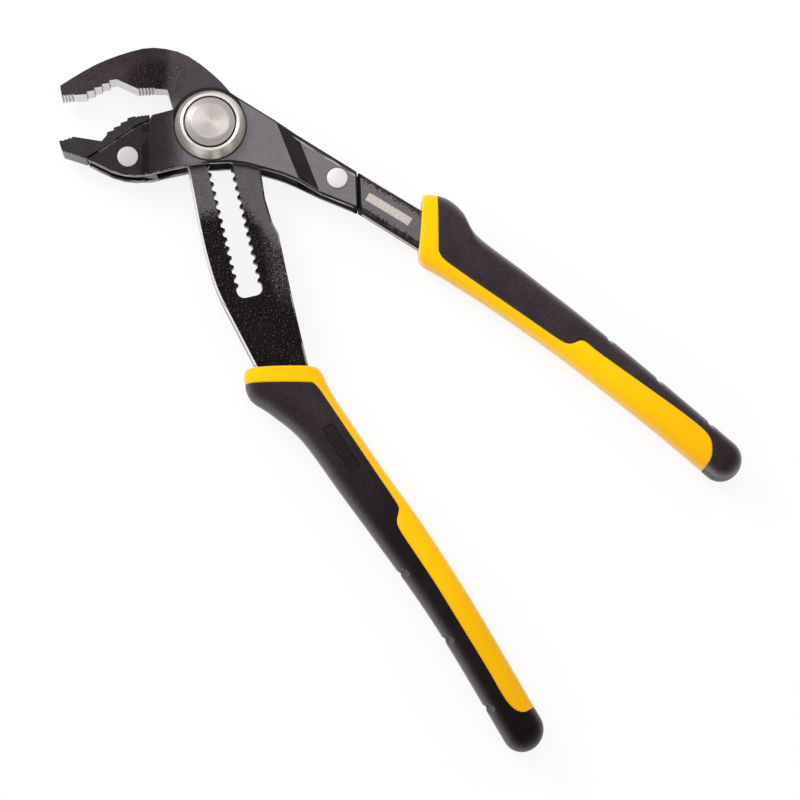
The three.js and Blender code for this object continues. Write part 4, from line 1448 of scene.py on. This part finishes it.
@dataclass
class Grip:
    """A yellow core and a black sleeve moulded round a tang.

    A section of the grip runs from its outer side to its palm side. Angles go round a section from
    the palm side over the top.
    """

    prefix: str
    body: Body
    outer: Sequence[Point]
    inner: Sequence[Point]
    collar: tuple[Point, Point]
    seam: Sequence[Point]
    socket: tuple[Point, Point]
    socket_height: float
    scoops: Sequence[float]
    yellow: HardGrip
    black: SoftGrip
    thicknesses: Triple = (21.0, 19.4, 18.0)
    waist: float = 4.0
    squareness: float = 0.72
    collar_round: float = 1.6
    scoop_radius: float = 2.1
    scoop_depth: float = 0.45
    scoop_lean: float = 14.0
    scoop_sweep: float = 18.0
    seam_gap: float = 0.07
    seam_round: float = 5.0
    seam_step: float = 0.55
    row_step: float = 3e-4
    socket_depths: Point = (4.0, 0.4)
    socket_flare: float = 0.3
    socket_squareness: float = 0.2
    tip_from: float = 0.94
    tip_fullness: float = 0.7
    wall: float = 1.3
    lip: float = 0.14
    side_columns: int = 104
    strip_columns: int = 64
    flank_columns: int = 32
    length_rows: int = 150
    tip_rows: int = 16
    rim_rows: int = 6
    collar_side_rows: int = 12
    starts: Point = field(init=False)
    rows: list[Point] = field(init=False)

    def build(self, shop: Workshop) -> None:
        """Builds and dresses the core and the sleeve.

        Args:
            shop: Where the pieces are made.
        """
        self.starts = (self.crossing(self.outer), self.crossing(self.inner))
        self.rows = self.seam_rows()
        core = shop.piece(
            f"{self.prefix}_moulding", self.core_form(), self.yellow.material(),
            self.body, Slot.YELLOW, f"{self.prefix}_core",
        )
        sleeve = shop.piece(
            f"{self.prefix}_cover", self.sleeve_form(), self.black.material(),
            self.body, Slot.RUBBER, f"{self.prefix}_sleeve",
        )
        for made in (core, sleeve):
            self.thicken(made)

    def thicken(self, made: bpy.types.Object) -> None:
        """Gives a skin its wall.

        Args:
            made: The piece with the skin.
        """
        wall = made.modifiers.new("wall", "SOLIDIFY")
        wall.thickness = self.wall * MM
        wall.offset = -1.0

    def crossing(self, edge: Sequence[Point]) -> float:
        """Share of an edge at which it meets the collar line.

        Args:
            edge: Points of the edge.

        Returns:
            The share, from 0 at the edge's first point.
        """
        start, end = (Vector(point) for point in self.collar)
        normal = Vector((start.y - end.y, end.x - start.x))
        side = (spline(edge, 0.0) - start).dot(normal) > 0
        return last_before(lambda share: ((spline(edge, share) - start).dot(normal) > 0) == side, 0.5)

    def section(self, along: float) -> tuple[Vector, Vector, float]:
        """Ends and thickness of a section.

        Args:
            along: Place of the section: -1 at the collar's end, 0 at the collar line and 1 at the
                centre of the round tip.

        Returns:
            The outer end, the palm end and the thickness.
        """
        shares = [
            start + (1 - start) * along if along >= 0 else start * (1 + along) for start in self.starts
        ]
        place = sum(shares) / 2 * (len(self.outer) - 1)
        full, waist, tip = self.thicknesses
        thickness = full + (waist - full) * smoothstep(place, 0.0, self.waist)
        thickness += (tip - thickness) * smoothstep(place, self.waist, len(self.outer) - 1)
        return spline(self.outer, shares[0]), spline(self.inner, shares[1]), thickness

    def seam_rows(self) -> list[Point]:
        """Sections along the colour seam, as far as the one that ends the strip.

        Returns:
            For each section, its place and the seam's share across it, from -1 at the outer side
            to 1 at the palm side.
        """
        line = rounded(self.seam, self.seam_round, steps=6)
        samples: list[Vector] = []
        for start, end in zip(line, line[1:]):
            count = max(1, math.ceil((end - start).length / self.seam_step))
            samples += [start.lerp(end, step / count) for step in range(count)]
        samples.append(line[-1])
        rows: list[Point] = []
        for sample in samples:
            along = last_before(lambda place, ahead=sample: self.lies_before(place, ahead), 1.0)
            if rows and along < rows[-1][0] + self.row_step:
                break
            outer, inner, _ = self.section(along)
            across = inner - outer
            rows.append((along, 2 * (sample - outer).dot(across) / across.length_squared - 1))
        return rows

    def lies_before(self, along: float, point: Vector) -> bool:
        """Whether a section lies on the collar's side of a point.

        Args:
            along: Place of the section.
            point: The point.

        Returns:
            Whether it does.
        """
        outer, inner, _ = self.section(along)
        across, ahead = inner - outer, self.section(along + 0.01)[0] - outer
        return across.cross(point - outer) * across.cross(ahead) > 0

    def seam_angle(self, share: float) -> float:
        """Angle round a section at a share across it."""
        return math.acos(math.copysign(abs(share) ** (1 / self.squareness), share))

    def skin(
        self,
        outer: Vector,
        inner: Vector,
        thickness: float,
        angle: float,
        squareness: float | None = None,
    ) -> Vector:
        """A point on the skin of a section.

        Args:
            outer: Outer end of the section.
            inner: Palm end of the section.
            thickness: Its thickness.
            angle: Angle of the point round it.
            squareness: Power that draws it out towards a square, if not the grip's own.

        Returns:
            The point.
        """
        power = self.squareness if squareness is None else squareness
        reach, rise = (
            math.copysign(abs(value) ** power, value) for value in (math.cos(angle), math.sin(angle))
        )
        flat = (outer + inner) / 2 + (inner - outer) / 2 * reach
        return Vector((flat.x, flat.y, MIDDLE + thickness / 2 * rise))

    def tip(self, turn: float) -> tuple[Vector, Vector, float]:
        """A section of the round tip, from its start at 0 to its pole at a quarter turn.

        Args:
            turn: The angle.

        Returns:
            The section's outer end, palm end and thickness.
        """
        outer, inner, thickness = self.section(1.0)
        before = self.section(self.tip_from)
        middle, across = (outer + inner) / 2, (inner - outer) / 2
        forward = (middle - (before[0] + before[1]) / 2).normalized()
        centre = middle + forward * across.length * math.sin(turn)
        shrink = math.cos(turn)
        return centre - across * shrink, centre + across * shrink, thickness * shrink**self.tip_fullness

    def scooped(self, point: Vector) -> Vector:
        """A point of the skin, pushed in where a finger scoop is cut.

        Args:
            point: A point in millimetres.

        Returns:
            The point in its new place.
        """
        lean, sweep = math.radians(self.scoop_lean), math.radians(self.scoop_sweep)
        for place in self.scoops:
            share = place / (len(self.outer) - 1)
            outer, inner = spline(self.outer, share), spline(self.inner, share)
            inward = (inner - outer).normalized().to_3d()
            if (point - outer.to_3d()).xy.length > 4 * self.scoop_radius:
                continue
            axis = outer.to_3d() + inward * (self.scoop_depth - self.scoop_radius)
            axis.z = MIDDLE
            face = 1.0 if point.z >= MIDDLE else -1.0
            ahead = (spline(self.outer, share + 0.01) - outer).normalized().to_3d()
            direction = inward * math.tan(lean) + ahead * math.tan(sweep) + Vector((0.0, 0.0, face))
            direction.normalize()
            reach = point - axis
            reach -= direction * reach.dot(direction)
            push = inward - direction * inward.dot(direction)
            a, b, c = push.length_squared, reach.dot(push), reach.length_squared - self.scoop_radius**2
            if c < 0:
                point = point + inward * ((math.sqrt(b * b - a * c) - b) / a)
        return point

    @staticmethod
    def wrap(
        rows: Sequence[Any], columns: int, skin: Callable[[int, float], Vector]
    ) -> bmesh.types.BMesh:
        """A grid laid over the grip.

        Args:
            rows: One entry for each row of the grid.
            columns: Number of faces across.
            skin: Gives the point at a row's number and a share across it.

        Returns:
            The new mesh.
        """
        form = bmesh.new()
        bmesh.ops.create_grid(form, x_segments=len(rows) - 1, y_segments=columns, size=0.5)
        for vertex in form.verts:
            row = round((vertex.co.x + 0.5) * (len(rows) - 1))
            vertex.co = skin(row, vertex.co.y + 0.5)
        return form

    def sleeve_form(self) -> bmesh.types.BMesh:
        """The sleeve's skin: beside the strip from the collar line, then all round to the tip.

        Returns:
            The new mesh.
        """
        side: list[tuple[Vector, Vector, float, float]] = []
        for along, share in self.rows:
            outer, inner, thickness = self.section(along)
            seam = self.seam_angle(share) + 2 * self.seam_gap / (inner - outer).length
            side.append((outer, inner, thickness, seam))
        end = self.rows[-1][0]
        rest = max(2, math.ceil((1 - end) * self.length_rows))
        tip = [self.section(end + (1 - end) * step / rest) for step in range(rest + 1)]
        tip += [self.tip(math.pi / 2 * step / self.tip_rows) for step in range(1, self.tip_rows + 1)]

        def beside(row: int, share: float) -> Vector:
            """Point of the sleeve beside the strip, a little short of the seam.

            Args:
                row: Number of the row.
                share: Share across it.

            Returns:
                The point.
            """
            *section, seam = side[row]
            point = self.scooped(self.skin(*section, seam + 2 * (math.pi - seam) * share))
            return point if self.black.panel is None else self.black.panel.sunk(point)

        def beyond(row: int, share: float) -> Vector:
            """Point of the sleeve beyond the strip; its first columns meet those beside the strip.

            Args:
                row: Number of the row.
                share: Share across it.

            Returns:
                The point.
            """
            seam = side[-1][-1]
            column = share * (self.side_columns + self.flank_columns)
            angle = seam + 2 * (math.pi - seam) * column / self.side_columns
            if column > self.side_columns:
                angle = 2 * seam * (column - self.side_columns) / self.flank_columns - seam
            return self.scooped(self.skin(*tip[row], angle))

        form = self.wrap(side, self.side_columns, beside)
        self.join(form, self.wrap(tip, self.side_columns + self.flank_columns, beyond))
        return self.finished(form)

    def core_form(self) -> bmesh.types.BMesh:
        """The core's skin: the collar with its socket, and the strip along the palm side.

        Returns:
            The new mesh.
        """
        flank, strip = self.flank_columns, self.strip_columns
        collar_rows = self.collar_rows()
        seam = self.seam_angle(self.rows[0][1])

        def collar_skin(row: int, share: float) -> Vector:
            """Point of the collar; its middle columns meet the strip's.

            Args:
                row: Number of the row.
                share: Share across it.

            Returns:
                The point.
            """
            column = share * (2 * flank + strip)
            if column <= flank:
                angle = -math.pi + (math.pi - seam) * column / flank
            elif column <= flank + strip:
                angle = -seam + 2 * seam * (column - flank) / strip
            else:
                angle = seam + (math.pi - seam) * (column - flank - strip) / flank
            outer, inner, thickness, squareness, shift = collar_rows[row]
            return self.skin(outer, inner, thickness, angle, squareness) + shift.to_3d()

        form = self.wrap(collar_rows, 2 * flank + strip, collar_skin)
        self.join(form, self.wrap(self.rows, strip, self.strip_skin))
        return self.finished(form)

    @staticmethod
    def join(form: bmesh.types.BMesh, other: bmesh.types.BMesh) -> None:
        """Adds another mesh, which is used up, to a mesh.

        Args:
            form: The mesh that grows.
            other: The mesh that is added.
        """
        carried = bpy.data.meshes.new("carried")
        other.to_mesh(carried)
        other.free()
        form.from_mesh(carried)
        bpy.data.meshes.remove(carried)

    def strip_skin(self, row: int, share: float) -> Vector:
        """Point of the palm strip at a row of the seam.

        Args:
            row: Number of the row.
            share: Share across it.

        Returns:
            The point.
        """
        along, across = self.rows[row]
        seam = self.seam_angle(across)
        return self.skin(*self.section(along), -seam + 2 * seam * share)

    def collar_rows(self) -> list[tuple[Vector, Vector, float, float, Vector]]:
        """Rows of the collar: socket wall, end face, rounded rim and side.

        Returns:
            Outer end, palm end, thickness, squareness and shift of each row.
        """
        outer, inner, _ = self.section(-1.0)
        ahead = self.section(-0.9)
        back = ((ahead[0] + ahead[1]) / 2 - (outer + inner) / 2).normalized()
        left, right = (Vector(point) for point in self.socket)
        across = (inner - outer).normalized()
        height, square, flare = self.socket_height, self.socket_squareness, self.socket_flare
        still = Vector((0.0, 0.0))
        rows = [(left, right, height, square, back * depth) for depth in self.socket_depths]
        rows.append((left - across * flare, right + across * flare, height + 2 * flare, square, still))
        line_outer, line_inner, _ = self.section(0.0)
        length = ((outer + inner) / 2 - (line_outer + line_inner) / 2).length
        for step in range(self.rim_rows + 1):
            turn = math.pi / 2 * step / self.rim_rows
            inset = self.collar_round * (1 - math.sin(turn))
            depth = self.collar_round * (1 - math.cos(turn))
            low, high, full = self.section(-1.0 + depth / length)
            low, high, full = low + across * inset, high - across * inset, full - 2 * inset
            rows.append((low, high, full, self.squareness, still))
        start = -1.0 + self.collar_round / length
        for step in range(1, self.collar_side_rows + 1):
            section = self.section(start - start * step / self.collar_side_rows)
            rows.append((*section, self.squareness, still))
        return rows

    def finished(self, form: bmesh.types.BMesh) -> bmesh.types.BMesh:
        """Welds a wrapped skin, turns its faces outwards and sinks its rims a little.

        Args:
            form: The mesh to change.

        Returns:
            The same mesh.
        """
        bmesh.ops.remove_doubles(form, verts=form.verts, dist=0.004)
        bmesh.ops.dissolve_degenerate(form, edges=form.edges, dist=0.002)
        bmesh.ops.recalc_face_normals(form, faces=form.faces)
        form.normal_update()
        top = max(form.faces, key=lambda face: face.calc_center_median().z)
        if top.normal.z < 0:
            bmesh.ops.reverse_faces(form, faces=form.faces)
        form.normal_update()
        for vertex in form.verts:
            if vertex.is_boundary:
                vertex.co -= vertex.normal * self.lip
        return form


# Studio


@dataclass(frozen=True)
class Lamp:
    """One square soft lamp, in metres and watts."""

    name: str
    at: Triple
    aim: Triple
    size: float
    power: float
    in_reflections: bool = True

    def build(self) -> None:
        """Builds the lamp."""
        data = bpy.data.lights.new(self.name, "AREA")
        data.size = self.size
        data.energy = self.power
        made = bpy.data.objects.new(self.name, data)
        bpy.context.scene.collection.objects.link(made)
        made.location = self.at
        made.rotation_euler = (Vector(self.aim) - Vector(self.at)).to_track_quat("-Z", "Y").to_euler()
        made.visible_glossy = self.in_reflections


@dataclass
class Studio:
    """Camera, lights and a white floor."""

    camera_at: Triple = (21.950, -300.083, 1148.045)
    aim: Triple = (73.140, -106.700, MIDDLE)
    lens: float = 135.0
    floor_size: float = 6.0
    floor_drop: float = 0.0004
    zenith: float = 0.2
    horizon: float = 1.0
    lamps: Sequence[Lamp] = (
        Lamp("overhead", (-0.1, 0.15, 1.1), (0.05, -0.05, 0.0), 0.8, 2.4, in_reflections=False),
        Lamp("key", (-0.62, 0.5, 0.75), (0.04, -0.05, 0.0), 0.45, 6.0),
        Lamp("card", (0.1, 0.27, 1.2), (0.07, 0.0, 0.0), 0.42, 1.6),
    )

    def build(self) -> None:
        """Builds the camera, the world, the lamps and the floor."""
        self.camera()
        self.world()
        for lamp in self.lamps:
            lamp.build()
        self.floor()
        bpy.context.scene.view_settings.view_transform = "Standard"

    def camera(self) -> None:
        """Builds the camera at the photograph's viewing angle."""
        data = bpy.data.cameras.new("camera")
        data.lens = self.lens
        data.sensor_width = 36.0
        data.clip_start, data.clip_end = 0.05, 50.0
        made = bpy.data.objects.new("camera", data)
        bpy.context.scene.collection.objects.link(made)
        at, aim = Vector(self.camera_at), Vector(self.aim)
        back = (at - aim).normalized()
        right = (Vector((1, 0, 0)) - back * back.x).normalized()
        up = back.cross(right)
        turn = Matrix((right, up, back)).transposed().to_4x4()
        made.matrix_world = Matrix.Translation(at * MM) @ turn
        bpy.context.scene.camera = made

    def world(self) -> None:
        """Builds a soft sky, bright at the horizon and dimmer overhead."""
        world = bpy.data.worlds.new("studio")
        world.use_nodes = True
        bpy.context.scene.world = world
        bench = NodeBench(world.node_tree)
        _, _, z = bench.axes(bench.add("ShaderNodeTexCoord", output="Generated"))
        level = bench.blend(z.rise(0.6, 0.97), self.horizon, self.zenith)
        sky = bench.add("ShaderNodeBackground", None, {"Color": (1.0, 1.0, 1.0), "Strength": level})
        bench.add("ShaderNodeOutputWorld", None, {"Surface": sky}, output=None)

    def floor(self) -> None:
        """Builds the floor sheet under the tool."""
        form = bmesh.new()
        bmesh.ops.create_grid(form, x_segments=1, y_segments=1, size=self.floor_size / 2)
        bmesh.ops.translate(form, vec=(0.0, 0.0, -self.floor_drop), verts=form.verts)
        mesh = bpy.data.meshes.new("floor")
        form.to_mesh(mesh)
        form.free()
        mesh.materials.append(StudioFloor("white_sheet").material())
        made = bpy.data.objects.new("floor", mesh)
        bpy.context.scene.collection.objects.link(made)


def grips() -> list[Grip]:
    """The two grips with their outlines.

    Returns:
        The slotted lever's grip and the fixed lever's.
    """
    lower = Grip(
        prefix="lower_grip",
        body=Body.SLOTTED,
        outer=(
            (13.8, -95.3), (13.2, -99), (15.5, -106.5), (23.4, -112.1), (35.2, -122.3),
            (50, -142.8), (65, -163.5), (79.8, -184.4), (92.5, -204.5), (111.9, -237.9),
        ),
        inner=(
            (41.5, -94.6), (43.1, -96.5), (44.4, -99.3), (47.1, -104.5), (51.8, -112),
            (65.6, -132.7), (80.4, -153.6), (94.2, -175.1), (106.4, -195.6), (125.4, -229),
        ),
        collar=((0, -101.3), (50, -101.4)),
        seam=(
            (39.6, -101.38), (41.9, -103.2), (70.3, -146.2), (72.3, -149.4), (71.9, -151.4), (70.8, -156.2),
            (85, -177.6), (105.1, -211), (111.4, -222.4), (114.6, -226), (117.6, -227.4), (120.6, -226.7),
            (129.5, -221),
        ),
        socket=((17.5, -95.3), (38.6, -94.7)),
        socket_height=8.7,
        scoops=(6.47, 7.75, 8.55),
        black=SoftGrip(
            "lower_grip_black",
            dark_near_collar=srgb(29, 21, 24),
            pale_near_collar=srgb(56, 47, 51),
            painted_side_sheen=0.24,
            painted_light_to=175.0,
            panel=Panel((50.35, -126.85), -57.9, (10.1, 2.2), corner=1.2, depth=0.18),
        ),
        yellow=HardGrip("lower_grip_yellow", near=srgb(245, 188, 0), far=srgb(228, 168, 0)),
    )
    upper = Grip(
        prefix="upper_grip",
        body=Body.FIXED,
        outer=(
            (82.2, -26.6), (86, -26), (92.3, -28), (97.8, -32.9), (103.3, -42.3),
            (122, -57), (141.4, -72.5), (161.1, -88.8), (180.6, -105.6), (201.7, -124.1),
        ),
        inner=(
            (80.6, -52.6), (82.8, -54.4), (85, -55.6), (87.2, -56.9), (91, -59.2),
            (109.9, -71.6), (130.2, -86.2), (150.4, -102), (170.3, -118.1), (191.7, -136.5),
        ),
        collar=((88.1, -20), (88.1, -60)),
        seam=(
            (88.1, -50), (89.6, -53), (135.9, -86), (139.2, -86.5), (143.3, -84.4), (148.4, -89),
            (179.6, -111.7), (189.6, -119.6), (192.4, -124), (192.2, -129.8), (190, -133.8), (182, -146),
        ),
        socket=((82.1, -33.2), (80.7, -47.6)),
        socket_height=11.5,
        scoops=(6.62, 7.58, 8.48),
        black=SoftGrip("upper_grip_black"),
        yellow=HardGrip("upper_grip_yellow", near=srgb(248, 194, 0), far=srgb(230, 167, 0), sheen=0.8),
        scoop_depth=0.2,
    )
    return [lower, upper]


def main() -> None:
    """Builds every sub-assembly in order and reports its pieces."""
    logging.basicConfig(level=logging.INFO, format="%(message)s")
    shop = Workshop(frame["nodes"])
    Studio().build()
    for assembly in (SlottedLever(), FixedLever(), PivotLock(), *grips()):
        assembly.build(shop)
    for made in shop.made:
        LOG.info("%s: %d faces, rides on %s", made.name, len(made.data.polygons), made["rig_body"])


if __name__ == "__main__":
    main()
